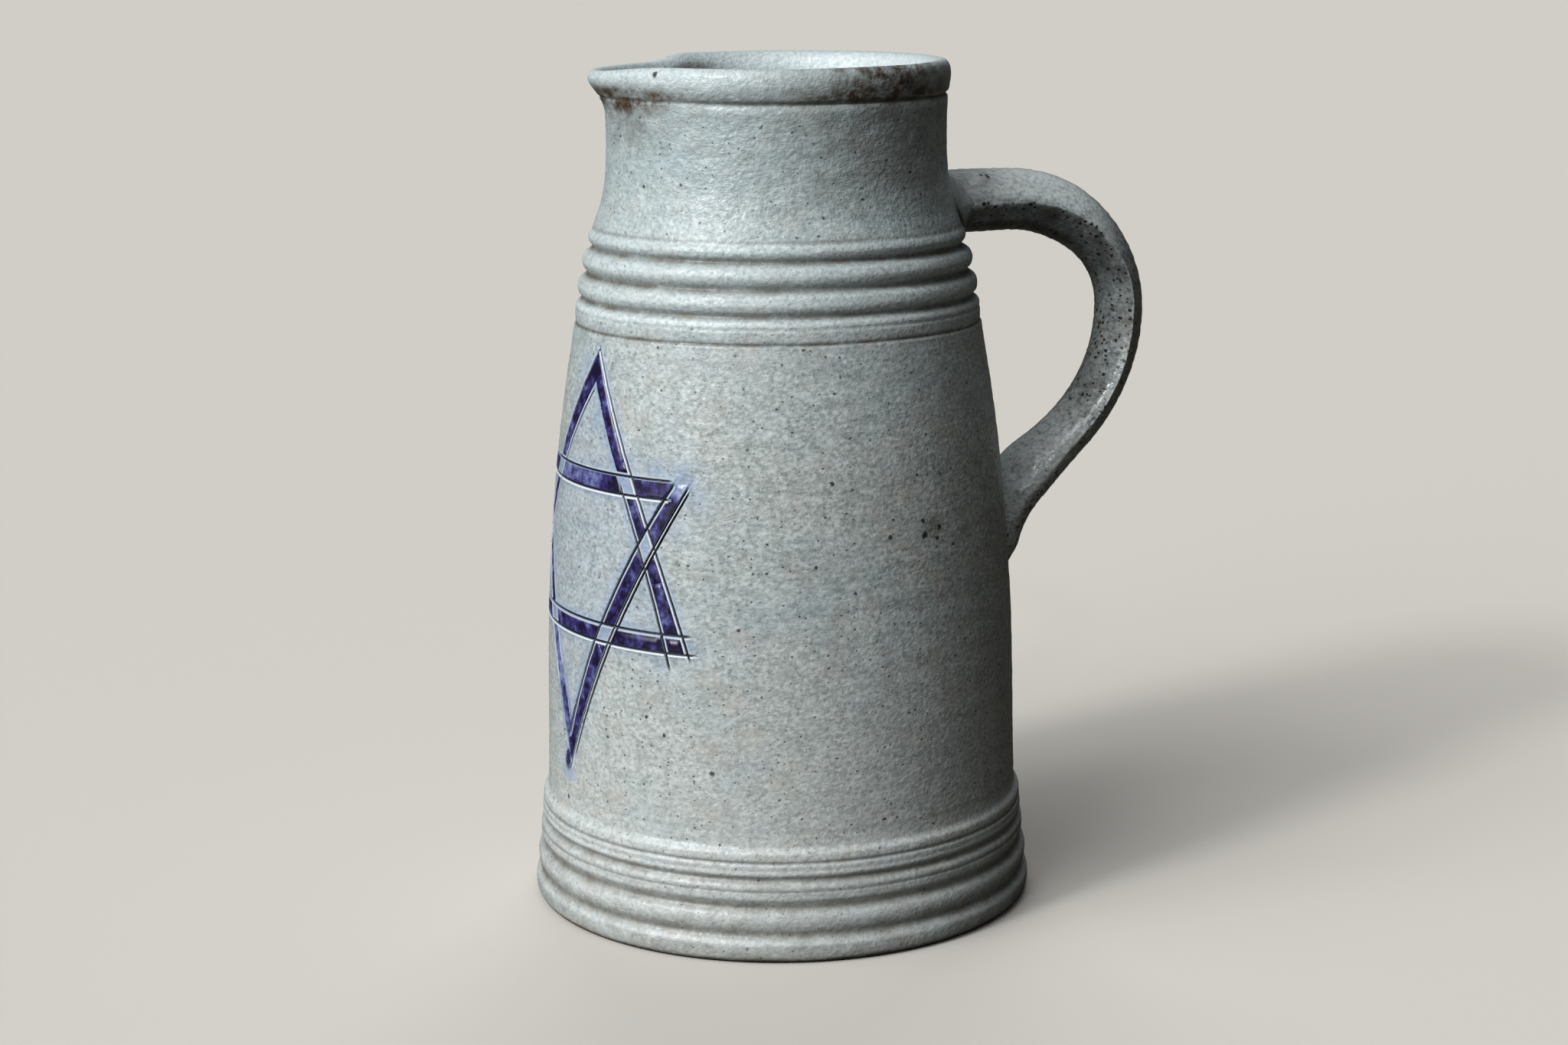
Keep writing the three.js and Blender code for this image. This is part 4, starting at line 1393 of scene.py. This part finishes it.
@dataclass
class PulledHandle:
    """The strap handle: pulled from a lump of clay, bent over, and pressed on the wall with a thumb.

    It has six stretches: run, crown, grip, slope, bend and tail. Widths, thicknesses and edge powers are
    given at their ends. Angles go round the strap, in degrees, from its far side over its outer face.
    Lumps are a height, then pace and start along the strap, then waves and phase round it. Blobs are a
    height, a length along the strap, half a length, an angle and half a turn: in the tail, counted from
    the slope's end, the thumb's dent and its crease, and at the root a drop of glaze and its bead.
    """

    body: ThrownBody
    root_height: float = 215.5
    root_radius: float = 49.5
    run_end: float = 74.5
    crown_reach: float = 38.0
    crown_drop: float = 34.0
    grip_radius: float = 57.0
    grip_angle: float = 45.0
    tail_radius: float = 26.0
    tail_press_angle: float = 3.0
    tail_length: float = 9.0
    tail_stand_off: float = 1.2
    line_points: tuple[int, ...] = (20, 60, 40, 15, 30, 10)
    widths: tuple[float, ...] = (31.0, 28.0, 27.0, 26.5, 27.0, 25.0, 14.0)
    thicknesses: tuple[float, ...] = (18.8, 19.5, 14.0, 14.5, 15.5, 11.0, 4.0)
    edges: tuple[float, ...] = (0.52, 0.85, 0.92, 0.74, 0.6, 0.54, 0.5)
    step: float = 1.2
    sides: int = 72
    lumps: tuple[tuple[float, ...], ...] = (
        (0.22, 11.0, 0.7, 1, 0.9), (0.22, 6.3, 2.0, 2, 0.4), (0.07, 37.0, 0.0, 11, 1.0),
    )
    dimple: float = 0.016
    dimples: int = 24
    corner_fill: tuple[float, float, float] = (2.4, 3.0, 10.0)
    tail_blobs: tuple[tuple[float, ...], ...] = (
        (-1.5, 0.6, 2.4, 223.0, 15.0), (0.8, 3.6, 0.9, 221.0, 20.0),
    )
    root_blobs: tuple[tuple[float, ...], ...] = (
        (1.6, 12.8, 3.2, 124.0, 15.0), (0.9, 11.8, 1.3, 132.0, 6.0),
    )
    # A painted white highlight on the drop's bead: its length, half a length, angle and half a turn
    glint: tuple[float, float, float, float] = (11.8, 1.5, 132.0, 7.0)

    def middle_line(self) -> tuple[np.ndarray, np.ndarray]:
        """Draws the strap's middle line.

        Returns:
            Its points in radius and height, and the lengths at which its stretches end.
        """
        run_count, crown_count, grip_count, slope_count, bend_count, tail_count = self.line_points
        crown_middle = self.root_height - self.crown_drop
        quarter = np.linspace(math.pi / 2, 0, crown_count)
        run = np.linspace((self.root_radius, self.root_height), (self.run_end, self.root_height), run_count)
        crown = np.stack([
            self.run_end + self.crown_reach * np.cos(quarter),
            crown_middle + self.crown_drop * np.sin(quarter),
        ], axis=1)
        turn = math.radians(self.grip_angle)
        arc = np.linspace(0, -turn, grip_count)
        grip_middle = self.run_end + self.crown_reach - self.grip_radius
        grip = np.stack([
            grip_middle + self.grip_radius * np.cos(arc), crown_middle + self.grip_radius * np.sin(arc)
        ], axis=1)

        # The tail bends back until it leans on the wall, and the slope is as long as that leaves it
        leaving = math.radians(self.tail_press_angle)
        bend_in = self.tail_radius * (math.cos(leaving) - math.cos(turn))
        bend_down = self.tail_radius * (math.sin(turn) - math.sin(leaving))
        slope_end = grip[-1]
        for _ in range(8):
            wall = float(self.body.outer_radius(np.array([slope_end[1] - bend_down]))[0])
            inward = grip[-1][0] - wall - self.tail_stand_off - bend_in
            slope_end = grip[-1] - inward * np.array([1, 1 / math.tan(turn)])
        slope = np.linspace(grip[-1], slope_end, slope_count)
        sweep = np.linspace(math.pi - turn, math.pi - leaving, bend_count)
        bend = slope_end + self.tail_radius * np.stack(
            [np.cos(sweep) + math.cos(turn), np.sin(sweep) - math.sin(turn)], axis=1
        )
        down = np.array([-math.sin(leaving), -math.cos(leaving)])
        tail = np.linspace(bend[-1], bend[-1] + self.tail_length * down, tail_count)
        stretches = [run, crown, grip, slope, bend, tail]
        line = np.concatenate([run] + [stretch[1:] for stretch in stretches[1:]])
        return line, np.concatenate(([0], np.cumsum([lengths_along(s)[-1] for s in stretches])))

    def measures(self, at: np.ndarray, ends: np.ndarray) -> list[np.ndarray]:
        """The strap's width, thickness and edge power at lengths along it."""
        return [rounded(ends, np.array(m), at) for m in (self.widths, self.thicknesses, self.edges)]

    def build(self, finish: bpy.types.Material) -> None:
        """Makes the strap's mesh and seats it.

        Args:
            finish: Its material.
        """
        line, ends = self.middle_line()
        passed = lengths_along(line)
        at = np.linspace(0, passed[-1], round(passed[-1] / self.step))
        place = np.stack([np.interp(at, passed, line[:, k]) for k in range(2)], axis=1)
        outward = leftwards(place)
        width, thickness, edge = (measure[:, None] for measure in self.measures(at, ends))
        angle = FULL_TURN * np.arange(self.sides) / self.sides
        aside = np.cos(angle)[None] * width / 2
        lift = np.copysign(np.abs(np.sin(angle)) ** (2 * edge), np.sin(angle)) * thickness / 2
        grown = 1 + self.unevenness(at, angle, ends) / np.maximum(np.hypot(aside, lift), 1)
        aside, lift = aside * grown, lift * grown
        fill, before, half = self.corner_fill
        lift = lift - fill * np.outer(swell(at, ends[4] - before, half), np.clip(-np.sin(angle), 0, 1))
        points = np.stack([
            place[:, :1] + outward[:, :1] * lift, aside, place[:, 1:] + outward[:, 1:] * lift
        ], axis=2)
        count, sides = len(at), self.sides
        faces = ring_faces(count, sides) + cap_faces(count, sides, count * sides)
        vertices = np.concatenate([points.reshape(-1, 3), [points[0].mean(0)], [points[-1].mean(0)]])
        piece = new_piece("strap_handle", vertices, faces, finish)
        dark, pale = self.face_marks(at, angle, ends)
        # Painted highlight: a white spot on the bead of the glaze drop
        glint = self.blob(at, angle, *self.glint)
        clear_marks(piece, *(np.append(mark, [0, 0]) for mark in (dark, pale, 0 * glint, glint)))
        seat(piece, "pulled_handle")

    @staticmethod
    def blob(
        at: np.ndarray, angle: np.ndarray, length: float, half: float, degrees: float, half_turn: float
    ) -> np.ndarray:
        """A soft blob on the strap, 1 at its middle: its length and angle, and half its size in both."""
        return np.outer(swell(at, length, half), swell(np.degrees(angle), degrees, half_turn))

    def face_marks(
        self, at: np.ndarray, angle: np.ndarray, ends: np.ndarray
    ) -> tuple[np.ndarray, np.ndarray]:
        """Darkens the under face with brown scorching and painted shade, the crown and grip with painted
        shade, and pales the top and the tail with thin glaze and painted light.

        Args:
            at: Lengths along the strap.
            angle: Angles round it.
            ends: The lengths at which its stretches end.

        Returns:
            How much of each, from 0 to 1, one row for each length.
        """
        _, run, crown, grip, slope, bend, _ = ends
        outer = np.sin(angle)
        # The under face is darkened, most under the crown: partly brown scorching, partly painted shade
        ragged = 0.1 * np.cos(at / 1.3) + 0.08 * np.cos(at / 0.71 + 1.0)
        sunk = 0.5 * smoothstep(15, 5, at)
        under = smoothstep(0.12, -0.32, outer[None] + (ragged + sunk)[:, None])
        scorched_and_shaded = 0.28 + 0.72 * smoothstep(crown + 30, crown - 22, at)
        scorched_and_shaded = 0.85 * scorched_and_shaded * smoothstep(slope, grip, at)
        # Painted shade all round the crown and grip
        held = 0.45 * smoothstep(run + 14, crown - 12, at) * smoothstep(grip + 2, grip - 22, at)
        # The run's top and the tail's inner side are paled: partly thin glaze, partly painted light
        top = np.outer(smoothstep(crown, run, at), smoothstep(0.1, 0.6, outer))
        sloping = smoothstep(grip - 12, grip + 4, at) * smoothstep(bend + 2, bend - 12, at)
        tail = np.outer(sloping, smoothstep(0.4, -0.1, outer))
        return np.maximum(under * scorched_and_shaded[:, None], held[:, None]), np.maximum(top, 0.6 * tail)

    def unevenness(self, at: np.ndarray, angle: np.ndarray, ends: np.ndarray) -> np.ndarray:
        """How far the strap's skin stands over its smooth shape.

        Args:
            at: Lengths along the strap.
            angle: Angles round it.
            ends: The lengths at which its stretches end.

        Returns:
            Millimetres, one row for each length.
        """
        skin = np.zeros((len(at), len(angle)))
        for height, pace, start, turns, phase in self.lumps:
            skin += height * np.outer(np.cos(at / pace + start), np.cos(turns * angle + phase))
        draw = np.random.default_rng(31)
        for _ in range(self.dimples):
            turns, pace, phase = draw.integers(3, 17), draw.uniform(0.7, 2.4), draw.uniform(0, FULL_TURN)
            skin += self.dimple * np.cos(turns * angle[None] + pace * at[:, None] + phase)
        for start, blobs in ((ends[4], self.tail_blobs), (0, self.root_blobs)):
            for height, length, *rest in blobs:
                skin += height * self.blob(at, angle, start + length, *rest)
        return skin

    def section(
        self, angle: np.ndarray, grow: np.ndarray, length: np.ndarray, ends: np.ndarray
    ) -> tuple[np.ndarray, np.ndarray]:
        """The strap's outline on its straight run, grown by some amount.

        Args:
            angle: Angles round the strap.
            grow: How far it is grown at each angle.
            length: The length along the strap at each angle.
            ends: The lengths at which its stretches end.

        Returns:
            How far each point lies aside, and its height.
        """
        width, thickness, edge = self.measures(length, ends)
        arc = np.copysign(np.abs(np.sin(angle)) ** (2 * edge), np.sin(angle))
        return np.cos(angle) * (width / 2 + grow), self.root_height + arc * (thickness / 2 + grow)


@dataclass
class LutingSlips:
    """The wet clay that stuck the handle on: a fillet round its root, and a low pad behind its tail."""

    body: ThrownBody
    handle: PulledHandle
    fillet_side: float = 6.5
    fillet_top: float = 1.8
    fillet_under: float = 3.6
    steps: int = 12
    sides: int = 96
    sunk: float = 0.35
    hidden: float = 1.6
    crack_angle: float = 197.0
    crack_width: float = 20.0
    crack_depth: float = 0.3
    crack_at: float = 0.6
    crack_half: float = 0.13
    crack_shade: float = 1.6
    ragged: float = 0.12
    scorch_and_shade: float = 0.9
    scorch_edge: tuple[float, float] = (-0.72, -0.1)
    scorch_fade: float = 0.12
    pale_top: float = 0.5
    pad_margin: float = 3.4
    pad_height: float = 1.7
    pad_half_widths: tuple[float, float, float] = (11.5, 12.5, 8.5)
    pad_widest: float = 0.45
    pad_squareness: float = 3.2
    pad_blunt: float = 0.02
    pad_rows: int = 40
    pad_columns: int = 28

    def build_upper(self, finish: bpy.types.Material) -> None:
        """Makes the fillet between neck and strap, and seats it.

        Args:
            finish: Its material.
        """
        sides = self.sides
        angle = FULL_TURN * np.arange(sides) / sides
        quarter = np.linspace(0, math.pi / 2, self.steps)
        up_or_down = np.where(np.sin(angle) > 0, self.fillet_top, self.fillet_under)
        fillet = self.fillet_side * np.cos(angle) ** 2 + up_or_down * np.sin(angle) ** 2
        fillet = fillet * (1 + self.ragged * wander(angle, seed=21))
        crack = swell(np.degrees(angle), self.crack_angle, self.crack_width)
        rings, dark, scorch_and_shade = [], [], []
        for grow_share, depth_share in zip(1 - np.sin(quarter), 1 - np.cos(quarter)):
            open_share = crack * swell(grow_share, self.crack_at, self.crack_half)
            rings.append((fillet * grow_share, fillet * depth_share - self.crack_depth * open_share))
            # The crack is painted near-black as its shade, in the cut colour
            dark.append(np.clip(self.crack_shade * open_share, 0, 1))
            # Its under side is darkened in the pooled colour: partly brown scorching, partly painted shade
            edge = np.interp(depth_share, (0, 1), self.scorch_edge)
            fade = smoothstep(edge + self.scorch_fade, edge - self.scorch_fade, np.sin(angle))
            scorch_and_shade.append(self.scorch_and_shade * fade)

        # Its thin edges sink into neck and strap, and three more rings close it inside them
        rings[0] = (rings[0][0], rings[0][1] - self.sunk)
        rings[-1] = (rings[-1][0] - self.sunk, rings[-1][1])
        buried = np.full(sides, -self.hidden)
        rings += [(buried, rings[-1][1]), (buried, buried), (rings[0][0], buried)]
        points = []
        _, ends = self.handle.middle_line()
        for grow, depth in rings:
            length = np.zeros(sides)
            for _ in range(3):
                aside, height = self.handle.section(angle, grow, length, ends)
                out = np.sqrt(self.body.outer_radius(height) ** 2 - aside**2) + depth
                length = np.clip(out - self.handle.root_radius, 0, None)
            points.append(np.stack([out, aside, height], axis=1))
        faces = ring_faces(len(rings), sides, closed=True)
        piece = new_piece("root_slip", np.concatenate(points), faces, finish)
        # Its top half is paled: partly thin glaze, partly painted light
        pale = np.tile(self.pale_top * smoothstep(-0.2, 0.5, np.sin(angle)), len(rings))
        unmarked = [np.zeros(3 * sides)]
        clear_marks(piece, np.concatenate(scorch_and_shade + unmarked), pale, np.concatenate(dark + unmarked))
        seat(piece, "upper_luting_slip")

    def build_lower(self, finish: bpy.types.Material) -> None:
        """Makes the pad behind the tail, and seats it.

        Args:
            finish: Its material.
        """
        low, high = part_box("lower_luting_slip")
        bottom, top = low.z / MM, high.z / MM
        share = np.linspace(0, 1, self.pad_rows + 1)
        across = np.linspace(-1, 1, self.pad_columns + 1)
        rounding = np.sqrt(np.clip(1 - np.abs(2 * share - 1) ** self.pad_squareness, 0, 1))
        width = rounded(np.array([0, self.pad_widest, 1]), np.array(self.pad_half_widths), share)
        aside = np.outer((width + self.pad_margin) * np.maximum(rounding, self.pad_blunt), across)
        height = np.repeat((top + (bottom - top) * share)[:, None], len(across), axis=1)
        dome = self.pad_height * np.outer(rounding, np.sqrt(np.clip(1 - across**2, 0, 1))) - self.sunk
        radius = self.body.outer_radius(height)
        layers = [
            np.stack([np.sqrt((radius + stand) ** 2 - aside**2), aside, height], axis=2)
            for stand in (dome, -self.hidden)
        ]
        wide = len(across)
        cells = [
            (i * wide + j, (i + 1) * wide + j, (i + 1) * wide + j + 1, i * wide + j + 1)
            for i in range(self.pad_rows) for j in range(self.pad_columns)
        ]
        faces = plate_faces(cells, len(share) * wide)
        piece = new_piece("tail_slip", np.concatenate(layers).reshape(-1, 3), faces, finish)
        clear_marks(piece)
        seat(piece, "lower_luting_slip")


# The studio


@dataclass(frozen=True)
class Lamp:
    """A soft far lamp: its bearing, height and spread in degrees, its strength, and if gloss shows it."""

    name: str
    bearing: float
    height: float
    spread: float
    strength: float
    glints: bool = True


@dataclass
class Studio:
    """A plain pale floor, soft lamps, and the camera at the photograph's angle."""

    frame_width: float = 2048.0
    focal_pixels: float = 3527.0
    sensor: float = 36.0
    near_clip: float = 50.0
    camera_azimuth: float = -15.0
    camera_distance: float = 829.4
    camera_height: float = 288.1
    camera_pitch: float = 11.68
    camera_pan: float = 0.1
    camera_roll: float = -0.43
    floor_colour: str = "#c4c1bb"
    floor_bounce: str = "#3a362f"
    floor_half: float = 40000.0
    seen_room: str = "#cfccc6"
    room_colour: str = "#e9edf0"
    room_strength: float = 0.03
    lamp_list: tuple[Lamp, ...] = (
        Lamp("window lamp", 206.0, 30.0, 50.0, 2.05), Lamp("pane lamp", 206.0, 32.0, 10.0, 1.35),
        Lamp("sky lamp", 200.0, 62.0, 50.0, 1.2), Lamp("back lamp", 72.0, 30.0, 40.0, 1.3, False),
        Lamp("front pane lamp", 251.0, 29.0, 4.0, 0.2),
    )

    def build(self) -> None:
        """Sets up everything round the object."""
        bpy.context.scene.view_settings.view_transform = "Standard"
        self.floor()
        self.room()
        self.lamps()
        self.camera()

    @staticmethod
    def two_colours(node: Adder, thrown: str, seen: str) -> tuple[Socket, Socket]:
        """A colour that looks paler than the light that it throws back.

        Args:
            node: Adds a node to the floor or the room.
            thrown: The colour of the light that it throws back.
            seen: The colour that it shows where it is looked at.

        Returns:
            A share that is 1 where it is looked at, and the colour.
        """
        rays = node("ShaderNodeLightPath").outputs
        looked_at = node(
            "ShaderNodeMath", {0: rays["Is Camera Ray"], 1: rays["Is Transmission Ray"]},
            operation="MAXIMUM",
        ).outputs[0]
        pair = {0: looked_at, 6: to_linear(thrown), 7: to_linear(seen)}
        return looked_at, node("ShaderNodeMix", pair, data_type="RGBA").outputs[2]

    def floor(self) -> None:
        """Lays the floor: matt paint, with no gloss of its own."""
        half = self.floor_half
        material = bpy.data.materials.new("matt painted floor")
        node = partial(add, fresh_tree(material))
        _, colour = self.two_colours(node, self.floor_bounce, self.floor_colour)
        coat = node("ShaderNodeBsdfDiffuse", {"Color": colour})
        node("ShaderNodeOutputMaterial", {"Surface": coat.outputs[0]})
        corners = np.array([(-half, -half, 0), (half, -half, 0), (half, half, 0), (-half, half, 0)])
        new_piece("floor", corners, [(0, 1, 2, 3)], material)

    def room(self) -> None:
        """Puts a room round it that looks pale but throws little light."""
        world = bpy.data.worlds.new("pale room")
        node = partial(add, fresh_tree(world))
        looked_at, colour = self.two_colours(node, self.room_colour, self.seen_room)
        strength = node("ShaderNodeMapRange", {0: looked_at, 3: self.room_strength, 4: 1.0}).outputs[0]
        background = node("ShaderNodeBackground", {"Color": colour, "Strength": strength})
        node("ShaderNodeOutputWorld", {"Surface": background.outputs[0]})
        bpy.context.scene.world = world

    def lamps(self) -> None:
        """Hangs soft lamps on the left, in front, overhead and behind."""
        for lamp in self.lamp_list:
            light = bpy.data.lights.new(lamp.name, "SUN")
            light.energy, light.angle = lamp.strength, math.radians(lamp.spread)
            holder = bpy.data.objects.new(lamp.name, light)
            turn, rise = math.radians(lamp.bearing), math.radians(lamp.height)
            flat = math.cos(rise)
            towards = Vector((math.cos(turn) * flat, math.sin(turn) * flat, math.sin(rise)))
            holder.location = towards
            holder.visible_glossy = lamp.glints
            holder.rotation_euler = (-towards).to_track_quat("-Z", "Y").to_euler()
            bpy.context.scene.collection.objects.link(holder)

    def camera(self) -> None:
        """Puts the camera where the photograph was taken from."""
        turns = (self.camera_pitch, self.camera_pan, self.camera_roll)
        pitch, pan, roll = (math.radians(turn) for turn in turns)
        flat = math.cos(pitch)
        ahead = Vector((math.sin(pan) * flat, math.cos(pan) * flat, -math.sin(pitch)))
        level = Vector((math.cos(pan), -math.sin(pan), 0))
        lift = level.cross(ahead)
        right = level * math.cos(roll) + lift * math.sin(roll)
        up = lift * math.cos(roll) - level * math.sin(roll)
        stand = Matrix((right, up, -ahead)).transposed().to_4x4()
        stand.translation = Vector((0, -self.camera_distance, self.camera_height)) * MM
        data = bpy.data.cameras.new("camera")
        data.sensor_fit = "HORIZONTAL"
        data.sensor_width = self.sensor
        data.lens = self.focal_pixels / self.frame_width * self.sensor
        data.clip_start = self.near_clip * MM
        camera = bpy.data.objects.new("camera", data)
        camera.matrix_world = Matrix.Rotation(math.radians(self.camera_azimuth), 4, "Z") @ stand
        bpy.context.scene.collection.objects.link(camera)
        bpy.context.scene.camera = camera


def main() -> None:
    """Builds the pitcher piece by piece, and then the studio round it."""
    logging.basicConfig(level=logging.INFO, format="%(name)s: %(message)s")
    wall_marks = (
        Mark(294.9, 126.6, 70.0, 5.0, "#4a4526", 0.95, 0.1), Mark(292.4, 124.0, 70.3, 1.3, "#1a1710"),
        Mark(297.2, 125.7, 70.1, 1.1, "#1d1a12"), Mark(296.3, 122.6, 70.4, 1.0, "#2a2518"),
        Mark(292.0, 128.3, 69.9, 0.9, "#3a3523"), Mark(282.3, 124.7, 70.3, 0.9, "#33322e"),
        Mark(267.9, 141.6, 68.5, 0.8, "#26241f"), Mark(263.5, 117.7, 70.8, 0.7, "#2c2a25"),
        Mark(222.4, 71.3, 73.2, 0.7, "#24211c"), Mark(227.2, 66.4, 73.4, 0.8, "#2e2a22"),
        Mark(239.0, 56.3, 73.6, 0.9, "#3a352b"), Mark(213.9, 257.3, 53.4, 1.2, "#1f1c18"),
        Mark(100.5, 258.2, 48.2, 1.3, "#6a6a58"), Mark(193.2, 52.4, 73.6, 1.9, "#2a2655"),
        Mark(192.8, 50.2, 73.6, 2.1, "#25214b"),
    )
    drop_marks = (Mark(352.6, 223.4, 65.5, 1.4, "#4a4c48"), Mark(351.7, 224.0, 63.4, 0.8, "#3c3d39"))
    body_glaze = SaltGlaze("salt-glazed stoneware", marks=wall_marks)
    # The strap's dark pooled colour serves its brown scorching and painted shade, and its bright thin colour
    # its pale top, partly painted light
    handle_glaze = SaltGlaze(
        "salt-glazed stoneware strap", grey="#5c6361", pale="#d0d8d7", pooled="#21160f", grit="#24221e",
        thin="#eaf2f3", flecks=0.9, grit_mm=1.9, grit_share=0.95, grit_rare=0.0, grit_reach=0.42,
        peel_depth=0.25, roughness=0.12, marks=drop_marks,
    )
    # The slip's near-black cut colour is the painted shade in its crack
    slip_glaze = SaltGlaze(
        "salt-glazed slip", grey="#6f7775", pale="#bcc4c2", pooled="#21160f", cut="#0d0c0b", roughness=0.36
    )
    body = ThrownBody()
    patch = body.build(body_glaze.make())
    body.build_colour(patch, CobaltSmalt("cobalt smalt under salt glaze").make())
    handle = PulledHandle(body)
    handle.build(handle_glaze.make())
    slips = LutingSlips(body, handle)
    slip_finish = slip_glaze.make()
    slips.build_upper(slip_finish)
    slips.build_lower(slip_finish)
    Studio().build()


if __name__ == "__main__":
    main()
